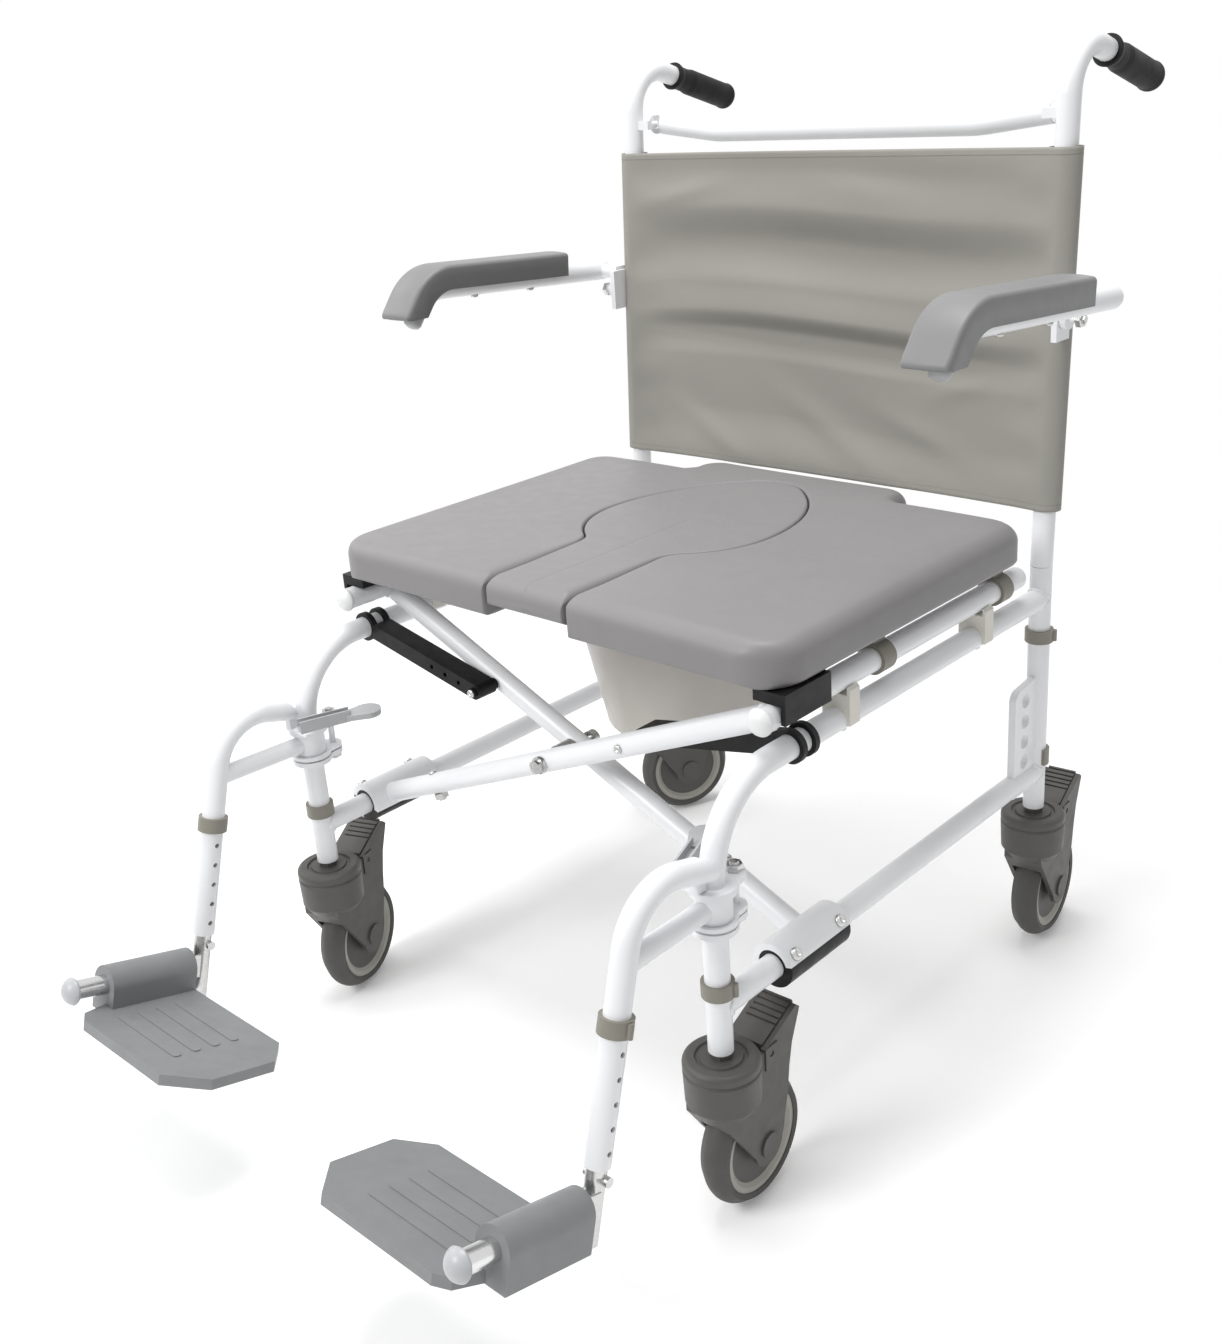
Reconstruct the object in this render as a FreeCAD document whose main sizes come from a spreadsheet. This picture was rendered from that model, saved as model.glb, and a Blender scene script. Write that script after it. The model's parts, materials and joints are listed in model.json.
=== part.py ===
import FreeCAD, Part
import math
import os
from FreeCAD import Placement, Rotation, Vector

# Shower commode wheelchair: a white tube chair on a folding cross brace, with a foam seat over a
# pan, a cloth back, flip-up armrests, swing-away footrests and four braked castors.
# Millimetres, +Z up, +X to the seated person's left, -Y forwards, floor at Z = 0.

doc = FreeCAD.newDocument("ShowerCommodeChair")
sheet = doc.addObject("Spreadsheet::Sheet", "Sizes")

driving_sizes = {
    "tube_diameter": 23, "half_track": 281, "front_post_y": -222.5, "wheel_base": 555,
    "stem_height": 178, "lower_tube_z": 222, "upper_tube_z": 425, "seat_tube_z": 463,
    "frame_bend": 78, "upright_top": 461, "spigot_length": 60, "spigot_diameter": 18.8,
    "handle_corner_z": 986, "handle_setback": 28, "handle_drop": 16.6, "handle_bend": 45,
    "handle_length": 180, "grip_start": 74, "grip_length": 106, "grip_diameter": 30,
    "plate_thickness": 8, "axle_hole_diameter": 17, "axle_hole_pitch": 24, "axle_hole_z": 246,
    "flange_radius": 21, "stem_pin_diameter": 12, "stem_pin_length": 42,
    "brace_b_y": 88, "brace_a_y": 132, "saddle_length": 92, "saddle_a_offset": -10, "saddle_b_offset": 18,
    "bushing_diameter": 31, "saddle_diameter": 44, "pivot_bolt_diameter": 10,
    "seat_tube_front": 74, "seat_tube_rear": 500,
    "link_width": 24, "link_height": 17, "link_reach": 108, "link_hole_diameter": 5,
    "crossbar_diameter": 22, "crossbar_z": 903, "crossbar_dip": 9, "crossbar_gap": 25,
    "sling_top": 881, "sling_bottom": 522, "sling_thickness": 3, "sling_sag": 26,
    "seat_half_width": 297, "seat_front": 72, "seat_rear": 490, "seat_tongue": 533,
    "seat_tongue_half": 140, "seat_bottom": 486, "seat_thickness": 44, "seat_edge_round": 18,
    "seat_crown_radius": 20000, "plug_gap": 1.5, "neck_half_width": 55, "oval_half_width": 110,
    "oval_widest": 315, "oval_tail": 485, "oval_tail_radius": 55, "neck_flare": 30,
    "plug_ledge": 9, "plug_depth": 32,
    "pan_rim_radius": 131, "pan_top_radius": 116, "pan_bottom_radius": 88, "pan_wall": 3,
    "pan_rim_z": 466, "pan_bottom_z": 312, "pan_centre": 300,
    "arm_x": 339, "arm_tube_z": 741, "arm_rise": 18, "arm_rear": 566, "arm_corner": 279, "arm_droop": 52,
    "arm_nose": 24, "arm_pad_nose": 57, "arm_bend": 40, "arm_pivot_y": 552, "arm_pivot_z": 721,
    "arm_pad_width": 48, "arm_pad_level": 733, "arm_pad_height": 29, "arm_pad_rear": 486,
    "hanger_corner_y": -97, "hanger_corner_z": 388, "leg_end_y": -162, "leg_end_z": 164,
    "hanger_bend": 52, "leg_bore_diameter": 18.2, "leg_bore_depth": 118, "strut_diameter": 18,
    "strut_reach": 70, "foot_tube_drop": 33, "foot_tube_diameter": 20, "foot_tube_length": 142,
    "plate_inner_x": 88, "foot_plate_depth": 128, "foot_plate_thickness": 10.5, "foot_plate_drop": 57.75,
    "wheel_diameter": 125, "wheel_width": 30, "castor_trail": 36, "castor_head_diameter": 70,
    "castor_head_top": 172, "castor_head_bottom": 120, "axle_diameter": 10,
}
for row, (alias, value) in enumerate(driving_sizes.items(), 1):
    sheet.set(f"A{row}", alias)
    sheet.set(f"B{row}", str(value))
    sheet.setAlias(f"B{row}", alias)
doc.recompute()

nodes = []                                   # the finished sub-parts, in the order they are written
running_fit = 0.06                           # radial play of a pin or a tube in its bearing
clearance = 0.35                             # gap between pieces that pass each other
x_axis, y_axis, z_axis = Vector(1, 0, 0), Vector(0, 1, 0), Vector(0, 0, 1)


def size(alias):
    return float(sheet.get(alias))


def bind(thing, **expressions):
    for name, text in expressions.items():
        thing.setExpression(name, text)
    return thing


def at(x, along, z):
    """A point whose second number counts rearwards from the front post."""
    return Vector(x, size("front_post_y") + along, z)


def turn_to(direction):
    return Rotation(z_axis, direction)


def cylinder(radius, height, base, direction=z_axis):
    rod = doc.addObject("Part::Cylinder", "Rod")
    bind(rod, Radius=str(radius), Height=str(height))
    rod.Placement = Placement(base, turn_to(direction))
    return rod


def rod_between(radius, start, end):
    return cylinder(radius, (end - start).Length, start, end - start)


def box(length, width, height, corner):
    block = doc.addObject("Part::Box", "Block")
    bind(block, Length=str(length), Width=str(width), Height=str(height))
    block.Placement = Placement(corner, Rotation())
    return block


def centred_box(lengths, centre, rotation=Rotation()):
    block = box(*lengths, Vector())
    half = Vector(*lengths) * 0.5
    block.Placement = Placement(centre - rotation.multVec(half), rotation)
    return block


def ring(outer, inner, height, base, direction=z_axis):
    return cut(cylinder(outer, height, base, direction), cylinder(inner, height, base, direction))


def fuse(*pieces):
    if len(pieces) == 1:
        return pieces[0]
    joined = doc.addObject("Part::MultiFuse", "Joined")
    joined.Shapes = list(pieces)
    return joined


def group(*pieces):
    together = doc.addObject("Part::Compound", "Group")
    together.Links = list(pieces)
    return together


def cut(base, *tools):
    rest = doc.addObject("Part::Cut", "Trimmed")
    rest.Base = base
    rest.Tool = fuse(*tools)
    return rest


def common(*pieces):
    shared = doc.addObject("Part::MultiCommon", "Shared")
    shared.Shapes = list(pieces)
    return shared


def rounded(base, radius, keep_edge):
    """Fillets the edges that keep_edge picks."""
    doc.recompute()
    soft = doc.addObject("Part::Fillet", "Rounded")
    soft.Base = base
    soft.Edges = [(number, radius, radius) for number, edge in enumerate(base.Shape.Edges, 1)
                  if keep_edge(edge)]
    return soft


def bent_path(points, bend):
    """Straight runs joined by tangent arcs of one radius."""
    edges, start = [], points[0]
    for before, corner, after in zip(points, points[1:], points[2:]):
        inward = (before - corner).normalize()
        outward = (after - corner).normalize()
        half_angle = inward.getAngle(outward) / 2
        reach = bend / math.tan(half_angle)
        bisector = (inward + outward).normalize()
        middle = corner + bisector * (bend / math.sin(half_angle) - bend)
        arc_start, arc_end = corner + inward * reach, corner + outward * reach
        edges.append(Part.LineSegment(start, arc_start).toShape())
        edges.append(Part.Arc(arc_start, middle, arc_end).toShape())
        start = arc_end
    edges.append(Part.LineSegment(start, points[-1]).toShape())
    return Part.Wire(edges)


def bent_tube(points, bend, radius):
    path = doc.addObject("Part::Feature", "Path")
    path.Shape = bent_path(points, bend)
    circle = doc.addObject("Part::Circle", "Section")
    bind(circle, Radius=str(radius))
    circle.Placement = Placement(points[0], turn_to(points[1] - points[0]))
    doc.recompute()
    tube = doc.addObject("Part::Sweep", "Tube")
    tube.Sections = [circle]
    tube.Spine = (path, [f"Edge{number}" for number in range(1, len(path.Shape.Edges) + 1)])
    tube.Solid = True
    return tube


def outline_wire(points):
    """A closed outline: a point is (a, b), or (a, b, "arc") for the middle of an arc."""
    edges, count = [], len(points)
    index = 0
    while index < count:
        start, following = points[index], points[(index + 1) % count]
        if len(following) == 3:
            end = points[(index + 2) % count]
            edges.append(Part.Arc(*(Vector(p[0], p[1], 0) for p in (start, following, end))))
            index += 2
        else:
            edges.append(Part.LineSegment(Vector(*start[:2], 0), Vector(*following[:2], 0)))
            index += 1
    return edges


def sketched(body_name, plane, points):
    body = doc.addObject("PartDesign::Body", body_name)
    sketch = body.newObject("Sketcher::SketchObject", "Outline")
    support = next(item for item in body.Origin.OriginFeatures if item.Role == plane)
    sketch.AttachmentSupport = [(support, "")]
    sketch.MapMode = "FlatFace"
    sketch.addGeometry(outline_wire(points), False)
    return body, sketch


def padded(plane, points, length, placement=Placement(), both_ways=True):
    """An outline on an origin plane, given thickness."""
    body, sketch = sketched("Pad", plane, points)
    pad = body.newObject("PartDesign::Pad", "Thickness")
    pad.Profile = sketch
    pad.Midplane = both_ways
    bind(pad, Length=str(length))
    body.Placement = placement
    return body


def turned(points, placement=Placement()):
    """A profile of (radius, height) points turned about the local Z axis."""
    body, sketch = sketched("Turned", "XZ_Plane", points)
    turn = body.newObject("PartDesign::Revolution", "Turn")
    turn.Profile = sketch
    turn.ReferenceAxis = (sketch, ["V_Axis"])
    turn.Angle = 360
    body.Placement = placement
    return body


def node(label, piece, placement=None):
    """Names a finished sub-part."""
    if placement is not None:
        piece.Placement = placement
    piece.Label = label
    nodes.append(piece)
    return piece


tube_radius = "Sizes.tube_diameter / 2"
tube_r = size("tube_diameter") / 2
half_track = size("half_track")
wheel_base = size("wheel_base")
seat_z, upper_z, lower_z = size("seat_tube_z"), size("upper_tube_z"), size("lower_tube_z")
sides = {"left": 1, "right": -1}
clip_radius = 15                             # outside of the plastic bands on the tubes
bar_end_x = half_track - 20                  # the crossbar's ends sit inside the back posts

# The handle's direction falls rearwards from its corner above the leaning back post.
handle_fall = math.radians(size("handle_drop"))
handle_direction = Vector(0, math.cos(handle_fall), -math.sin(handle_fall))


def back_post_along(z):
    lean = size("handle_setback") / (size("handle_corner_z") - size("upright_top"))
    return wheel_base + (z - size("upright_top")) * lean


def side_frame(name, side):
    """Bent upper tube and front post, rear upright, lower tube, axle plate and hanger flanges."""
    x = side * half_track
    joint_depth = 2
    main_tube = bent_tube([at(x, wheel_base - joint_depth, upper_z), at(x, 0, upper_z),
                           at(x, 0, size("stem_height"))], size("frame_bend"), tube_radius)
    upright = cylinder(tube_radius, "Sizes.upright_top - Sizes.stem_height",
                       at(x, wheel_base, size("stem_height")))
    lower_tube = cylinder(tube_radius, wheel_base - 2 * joint_depth, at(x, joint_depth, lower_z), y_axis)
    plate_front, plate_top, plate_bottom = wheel_base - 54, 338, 208
    plate = padded("YZ_Plane", [(plate_front, plate_bottom), (wheel_base, plate_bottom),
                                (wheel_base, plate_top), (plate_front + 12, plate_top - 5),
                                (plate_front + 3, plate_top - 9, "arc"), (plate_front, plate_top - 18)],
                   "Sizes.plate_thickness", Placement(at(x, 0, 0), Rotation()))
    holes = [cylinder("Sizes.axle_hole_diameter / 2", 40,
                      at(x - 20, wheel_base - 32, size("axle_hole_z") + step * size("axle_hole_pitch")),
                      x_axis) for step in range(4)]
    pieces = [main_tube, upright, lower_tube, cut(plate, *holes)]
    for low, thick in ((336, 7), (300, 5), (307, 4)):
        ear = padded("XY_Plane", [(-14, 2), (-11, 30), (0, 38, "arc"), (11, 30), (14, 2)], thick,
                     Placement(at(x, 0, low), Rotation()), False)
        pieces.append(fuse(cylinder("Sizes.flange_radius", thick, at(x, 0, low)), ear))
    pieces += [cylinder(3.5, 52, at(x, 29, 295))]
    pieces += [cylinder("Sizes.stem_pin_diameter / 2", "Sizes.stem_pin_length",
                        at(x, along, size("stem_height") - size("stem_pin_length")))
               for along in (0, wheel_base)]
    socket = cylinder("Sizes.spigot_diameter / 2 + 0.1", "Sizes.spigot_length + 1",
                      at(x, wheel_base, size("upright_top") - size("spigot_length") - 1))
    node(f"{name}_side_frame", cut(fuse(*pieces), socket))


def back_post(name, side):
    """Leaning post and push handle with the armrest bracket, its pin and the crossbar pin."""
    x = side * half_track
    corner = at(x, wheel_base + size("handle_setback"), size("handle_corner_z"))
    post = bent_tube([at(x, wheel_base, size("upright_top")), corner,
                      corner + handle_direction * size("handle_length")], size("handle_bend"), tube_radius)
    spigot = cylinder("Sizes.spigot_diameter / 2", "Sizes.spigot_length + 6",
                      at(x, wheel_base, size("upright_top") - size("spigot_length")))
    pivot = at(0, size("arm_pivot_y"), size("arm_pivot_z"))
    bracket = padded("YZ_Plane", [(-14, -22), (20, -22), (20, 24), (-14, 24)], 6,
                     Placement(pivot + Vector(side * (half_track + tube_r + 2), 0, 0), Rotation()))
    arm_pin = cylinder(4, 26, pivot + Vector(side * (half_track + tube_r), 0, 0), x_axis * side)
    arm_nut = cylinder(7, 6, pivot + Vector(side * (half_track + tube_r + 20), 0, 0), x_axis * side)
    below_foot = box(40, 40, 10, at(x - 20, wheel_base - 20, size("upright_top") - 9.95))
    bar_x, bar_z = side * bar_end_x, size("crossbar_z") + size("crossbar_dip")
    bar_along = back_post_along(bar_z)
    lug = box(half_track - bar_end_x + 6, 8, 10, at(min(bar_x - side * 6, x), bar_along - 4, bar_z - 5))
    pin_reach = size("crossbar_gap") + (14 if side > 0 else -7)
    bar_pin = cylinder(4, pin_reach, at(bar_x, bar_along, bar_z), y_axis)
    node(f"{name}_back_post", fuse(cut(post, below_foot), spigot, bracket, arm_pin, arm_nut, lug, bar_pin))


def push_grip(name, side):
    """Moulded grip: thumb collar, finger recess and a rounded closed end."""
    corner = at(side * half_track, wheel_base + size("handle_setback"), size("handle_corner_z"))
    radius, length = size("grip_diameter") / 2, size("grip_length") + 6
    bore, bore_end = tube_r + 0.05, size("handle_length") - size("grip_start") + 0.3
    profile = [(bore, 0), (radius + 0.5, 0), (radius + 1.2, 2), (radius + 0.5, 5), (radius - 1.5, 11),
               (radius - 1.5, 24), (radius, 32), (radius, length - 14), (radius + 0.8, length - 9),
               (radius - 1.8, length - 2.6, "arc"), (radius - 8, length), (0, length), (0, bore_end),
               (bore, bore_end)]
    node(f"{name}_push_grip", turned(profile, Placement(corner + handle_direction * size("grip_start"),
                                                        turn_to(handle_direction))))


def snap_band(width, base, direction, lug_side):
    """A plastic band round a tube, with the small lug that closes it."""
    lug_way = lug_side.normalize()
    lug = rod_between(3, base + direction * 1 + lug_way * (clip_radius + 0.5),
                      base + direction * (width - 1) + lug_way * (clip_radius + 0.5))
    bore = cylinder(tube_r + 0.05, width, base, direction)
    return cut(fuse(cylinder(clip_radius, width, base, direction), lug), bore)


def frame_clips(name, side):
    """Warm grey bands snapped on the front post and the rear upright."""
    x = side * half_track
    bands = [snap_band(14, at(x, 0, 234.5), z_axis, Vector(side, 0.4, 0)),
             snap_band(14, at(x, wheel_base, 376), z_axis, Vector(side, 0.4, 0))]
    outer_part = box(20, 30, 24, at(min(x + side * 3, x + side * 23), wheel_base - 5, 228))
    bands.append(common(ring(clip_radius, tube_r + 0.05, 18, at(x, wheel_base, 232)), outer_part))
    node(f"{name}_frame_clips", group(*bands))


def seat_saddles(name, side):
    """Two cradles on the upper tube that the seat tube drops into."""
    x, length, wall = side * half_track, 16, 3
    half = tube_r + clearance + wall
    cradles = []
    for along in (188, 422):
        section = [(-half, -4), (half, -4), (half, 30), (half - wall, 33), (half - wall, 25),
                   (wall - half, 25), (wall - half, 33), (-half, 30)]
        block = padded("XZ_Plane", section, length, Placement(at(x, along, upper_z), Rotation()))
        upper = cylinder(tube_r + 0.05, 40, at(x, along - 20, upper_z), y_axis)
        cradles.append(cut(block, upper))
    node(f"{name}_seat_saddles", group(*cradles))


for side_name, side_sign in sides.items():
    side_frame(side_name, side_sign)
    back_post(side_name, side_sign)
    push_grip(side_name, side_sign)
    frame_clips(side_name, side_sign)
    seat_saddles(side_name, side_sign)

# Cross brace: each member is hinged on one lower tube and carries the other side's seat tube.
brace_z = (seat_z + lower_z) / 2


def brace_member(letter, foot, along, saddle_shift):
    """A diagonal tube with its foot saddle, bushing, seat tube and the seat tube's end caps."""
    foot_point, head_point = at(foot * half_track, along, lower_z), at(-foot * half_track, along, seat_z)
    direction = (head_point - foot_point).normalize()
    start = foot_point + direction * (size("bushing_diameter") / 2 + 1)
    diagonal = rod_between(tube_radius, start, head_point)
    saddle_y = along + saddle_shift - size("saddle_length") / 2
    saddle_base = at(foot * half_track, saddle_y, lower_z)
    shell = ring("Sizes.saddle_diameter / 2", "Sizes.bushing_diameter / 2 + 0.05", "Sizes.saddle_length",
                 saddle_base, y_axis)
    split_turn = Rotation(x_axis, Vector(-foot * 0.27, 0, 1))
    split_middle = foot_point + Vector(0, saddle_shift, 0)
    upper_half, lower_half = box(60, 200, 60, Vector()), box(60, 200, 60, Vector())
    upper_corner, lower_corner = Vector(0, -100, -30), Vector(-60 - clearance, -100, -30)
    upper_half.Placement = Placement(split_middle + split_turn.multVec(upper_corner), split_turn)
    lower_half.Placement = Placement(split_middle + split_turn.multVec(lower_corner), split_turn)
    half_shell = common(shell, upper_half)
    seat_tube = cylinder(tube_radius, "Sizes.seat_tube_rear - Sizes.seat_tube_front",
                         at(-foot * half_track, size("seat_tube_front"), seat_z), y_axis)
    bolt_hole = cylinder(size("pivot_bolt_diameter") / 2 + running_fit, 80, at(0, along - 40, brace_z),
                         y_axis)
    node(f"brace_{letter}_frame", cut(fuse(diagonal, half_shell, seat_tube), bolt_hole))
    bush_base, bush_length = saddle_base + Vector(0, 1, 0), "Sizes.saddle_length - 2"
    bush = ring("Sizes.bushing_diameter / 2", tube_r + running_fit, bush_length, bush_base, y_axis)
    shoe_ring = ring("Sizes.saddle_diameter / 2 - 0.5", tube_r + running_fit, bush_length, bush_base, y_axis)
    shoe = common(shoe_ring, lower_half)
    node(f"brace_{letter}_bushing", fuse(bush, shoe))
    front_cap = turned([(0, 0), (tube_r, 0), (tube_r + 1.5, 2), (tube_r + 1.5, 4), (tube_r - 3, 9, "arc"),
                        (3, 11), (0, 11)],
                       Placement(at(-foot * half_track, size("seat_tube_front"), seat_z),
                                 Rotation(z_axis, -y_axis)))
    rear_cap = turned([(0, 0), (tube_r, 0), (tube_r - 2.5, 5, "arc"), (tube_r - 6, 7), (0, 8)],
                      Placement(at(-foot * half_track, size("seat_tube_rear"), seat_z),
                                Rotation(z_axis, y_axis)))
    node(f"brace_{letter}_end_caps", group(front_cap, rear_cap))
    bands = [snap_band(20, at(-foot * half_track, band_along, seat_z), y_axis, Vector(0, 0, 1))
             for band_along in (236, 450)]
    node(f"brace_{letter}_seat_clips", group(*bands))


brace_member("a", 1, size("brace_a_y"), size("saddle_a_offset"))
brace_member("b", -1, size("brace_b_y"), size("saddle_b_offset"))

# Centre bolt: head and shaped washer in front, spacer between the tubes, nut behind.
bolt_r = size("pivot_bolt_diameter") / 2
brace_a_y, brace_b_y = size("brace_a_y"), size("brace_b_y")
bolt_front, bolt_rear = brace_b_y - tube_r - 9, brace_a_y + tube_r + 10
node("brace_centre_bolt", fuse(
    cylinder("Sizes.pivot_bolt_diameter / 2", bolt_rear - bolt_front, at(0, bolt_front, brace_z), y_axis),
    cylinder(7, 5, at(0, bolt_front, brace_z), y_axis),
    cylinder(9, 4, at(0, bolt_front + 5, brace_z), y_axis),
    cylinder(11, brace_a_y - brace_b_y - 2 * tube_r - 2 * clearance,
             at(0, brace_b_y + tube_r + clearance, brace_z), y_axis),
    cylinder(9, 8, at(0, bolt_rear - 8, brace_z), y_axis)))


def link(name, side, front, bolt_to):
    """Channel link: two rings round the upper tube, spare holes and a bolt towards the brace."""
    x, width = side * half_track, size("link_width")
    ring_centre = Vector(x, 0, upper_z)
    brace_point = Vector(side * size("link_reach"), 0,
                         brace_z + size("link_reach") / half_track * (seat_z - brace_z))
    reach = (brace_point - ring_centre).Length
    turn = Rotation(x_axis, brace_point - ring_centre)
    place = Placement(at(x, front, upper_z), turn)
    start = tube_r + 3
    bar = box(reach - start, "Sizes.link_width", "Sizes.link_height",
              Vector(start, 0, -size("link_height") / 2))
    nose = cylinder("Sizes.link_height / 2", "Sizes.link_width", Vector(reach, 0, 0), y_axis)
    hollow = box(reach - start - 30, width, size("link_height") - 7,
                 Vector(start + 14, 4, -size("link_height") / 2 + 3.5))
    gap = box(60, width - 12, 60, Vector(-30, 6, -30))
    rings = cut(cylinder(16, "Sizes.link_width", Vector(), y_axis), gap)
    bore = cylinder(tube_r + running_fit, 60, Vector(0, -10, 0), y_axis)
    spare = [cylinder("Sizes.link_hole_diameter / 2", 10, Vector(reach - 24 - 21 * step, -2, 0), y_axis)
             for step in range(3)]
    spacer_start, spacer_length = (bolt_to - front, front - bolt_to) if bolt_to < front else \
        (width, bolt_to - front - width)
    bolt = cylinder(6, spacer_length, Vector(reach, spacer_start, 0), y_axis)
    head = cylinder(5, 4, Vector(reach, -4 if bolt_to > front else width, 0), y_axis)
    body = fuse(cut(fuse(bar, nose, rings), bore, hollow, *spare), bolt, head)
    node(f"{name}_link", body, place)


link("left", 1, brace_b_y + tube_r + 10, brace_b_y + tube_r + clearance)
link("right", -1, brace_a_y - tube_r - 5 - size("link_width"), brace_a_y - tube_r - clearance)


def crossbar():
    """Stay behind the back posts: an eye on the left post's pin, a dipped bar and an open hook."""
    z, dip = size("crossbar_z"), size("crossbar_dip")
    along = back_post_along(z) + size("crossbar_gap")
    bar = bent_tube([at(bar_end_x - 8, along, z + dip - 1), at(bar_end_x - 90, along, z - 2),
                     at(-bar_end_x + 90, along, z - 2), at(-bar_end_x + 8, along, z + dip - 1)],
                    160, "Sizes.crossbar_diameter / 2")
    eye = cylinder(11, 12, at(bar_end_x, along - 6, z + dip), y_axis)
    hook = cylinder(11, 12, at(-bar_end_x, along - 6, z + dip), y_axis)
    bore = cylinder(4 + running_fit, 60, at(bar_end_x, along - 30, z + dip), y_axis)
    notch = fuse(cylinder(5, 60, at(-bar_end_x, along - 30, z + dip), y_axis),
                 box(10, 60, 30, at(-bar_end_x - 5, along - 30, z + dip)))
    node("back_crossbar", cut(fuse(bar, eye, hook), bore, notch))


crossbar()


def back_sling():
    """Cloth back: a sagging sheet with soft level waves, sewn round both posts."""
    top, bottom, thick = size("sling_top"), size("sling_bottom"), size("sling_thickness")
    waves = [(0.0, 0.35), (0.14, 0.8), (0.28, 1.0), (0.44, 0.72), (0.60, 1.05), (0.80, 0.78), (1.0, 0.3)]
    sections = []
    for share, depth in waves:
        z = bottom + (top - bottom) * share
        along = back_post_along(z)
        face = along - tube_r - 1.2
        sag = size("sling_sag") * depth
        edge = half_track - 5
        corners = [at(-edge, face, z), at(edge, face, z), at(edge, face + thick, z),
                   at(-edge, face + thick, z)]
        sections.append(Part.Wire([
            Part.Arc(corners[0], at(0, face + sag, z), corners[1]).toShape(),
            Part.LineSegment(corners[1], corners[2]).toShape(),
            Part.Arc(corners[2], at(0, face + thick + sag, z), corners[3]).toShape(),
            Part.LineSegment(corners[3], corners[0]).toShape()]))
    sheet_form = Part.makeLoft(sections, True, False)
    pockets, posts = [], []
    for side in sides.values():
        low = at(side * half_track, back_post_along(bottom), bottom)
        high = at(side * half_track, back_post_along(top), top)
        pockets.append(Part.makeCylinder(tube_r + 2.6, (high - low).Length, low, high - low))
        reach = (high - low).normalize() * 20
        posts.append(Part.makeCylinder(tube_r + clearance, top - bottom + 40, low - reach, high - low))
    pivot_along, pivot_z = size("arm_pivot_y"), size("arm_pivot_z")
    vents = [Part.makeBox(30, 60, 58, at(side * (half_track + 25) - 15, pivot_along - 30, pivot_z - 28))
             for side in sides.values()]
    cloth = doc.addObject("Part::Feature", "Cloth")
    cloth.Shape = sheet_form.fuse(pockets).cut(posts + vents)
    node("back_sling", cloth)


back_sling()


# Seat: crowned foam cushion with a keyhole opening and its lift-out plug.
seat_half, seat_front, seat_rear = size("seat_half_width"), size("seat_front"), size("seat_rear")
seat_top = size("seat_bottom") + size("seat_thickness")
seat_height = "Sizes.seat_thickness"
on_seat = Placement(at(0, 0, size("seat_bottom")), Rotation())


def seat_outline(inset=0):
    w, tongue = seat_half - inset, size("seat_tongue_half") - inset
    front, rear, back = seat_front + inset, seat_rear - inset, size("seat_tongue") - inset
    corner, bulge = 46, 46 * (1 - math.sqrt(0.5))
    small, small_bulge = 22, 22 * (1 - math.sqrt(0.5))
    right = [(w - corner, front), (w - bulge, front + bulge, "arc"), (w, front + corner), (w, rear - small),
             (w - small_bulge, rear - small_bulge, "arc"), (w - small, rear), (tongue + 12, rear),
             (tongue, rear + 12), (tongue, back - small), (tongue - small_bulge, back - small_bulge, "arc"),
             (tongue - small, back)]
    return right + [(-point[0], *point[1:]) for point in reversed(right)]


def keyhole(inset, front):
    """A straight neck that flares by tangent arcs into an egg-shaped opening, drawn in by the inset."""
    neck, radius = size("neck_half_width") - inset, size("oval_half_width") - inset
    flare, tail_r = size("neck_flare") + inset, size("oval_tail_radius") - inset
    widest, tail_y = size("oval_widest"), size("oval_tail") - size("oval_tail_radius")
    flare_x = neck + flare
    flare_y = widest - math.sqrt((radius + flare) ** 2 - flare_x ** 2)
    share = radius / (radius + flare)
    touch = (flare_x * share, widest + (flare_y - widest) * share)
    bend = (math.pi + math.atan2(touch[1] - flare_y, touch[0] - flare_x)) / 2
    flare_mid = (flare_x + flare * math.cos(bend), flare_y + flare * math.sin(bend))
    swing = math.atan2(touch[1] - widest, touch[0]) / 2
    side_mid = (radius * math.cos(swing), widest + radius * math.sin(swing))
    run = tail_y - widest
    flank = (radius ** 2 + run ** 2 - tail_r ** 2) / (2 * (radius - tail_r))
    flank_x = radius - flank
    heading = math.atan2(run, -flank_x)
    flank_mid = (flank_x + flank * math.cos(heading / 2), widest + flank * math.sin(heading / 2))
    tail_touch = (tail_r * math.cos(heading), tail_y + tail_r * math.sin(heading))
    right = [(neck, front), (neck, flare_y), (*flare_mid, "arc"), touch, (*side_mid, "arc"),
             (radius, widest), (*flank_mid, "arc"), tail_touch]
    left = [(-point[0], *point[1:]) for point in reversed(right)]
    return right + [(0, tail_y + tail_r, "arc")] + left


def level_edge(edge, z):
    return abs(edge.BoundBox.ZMin - z) < 0.01 and abs(edge.BoundBox.ZMax - z) < 0.01


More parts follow.
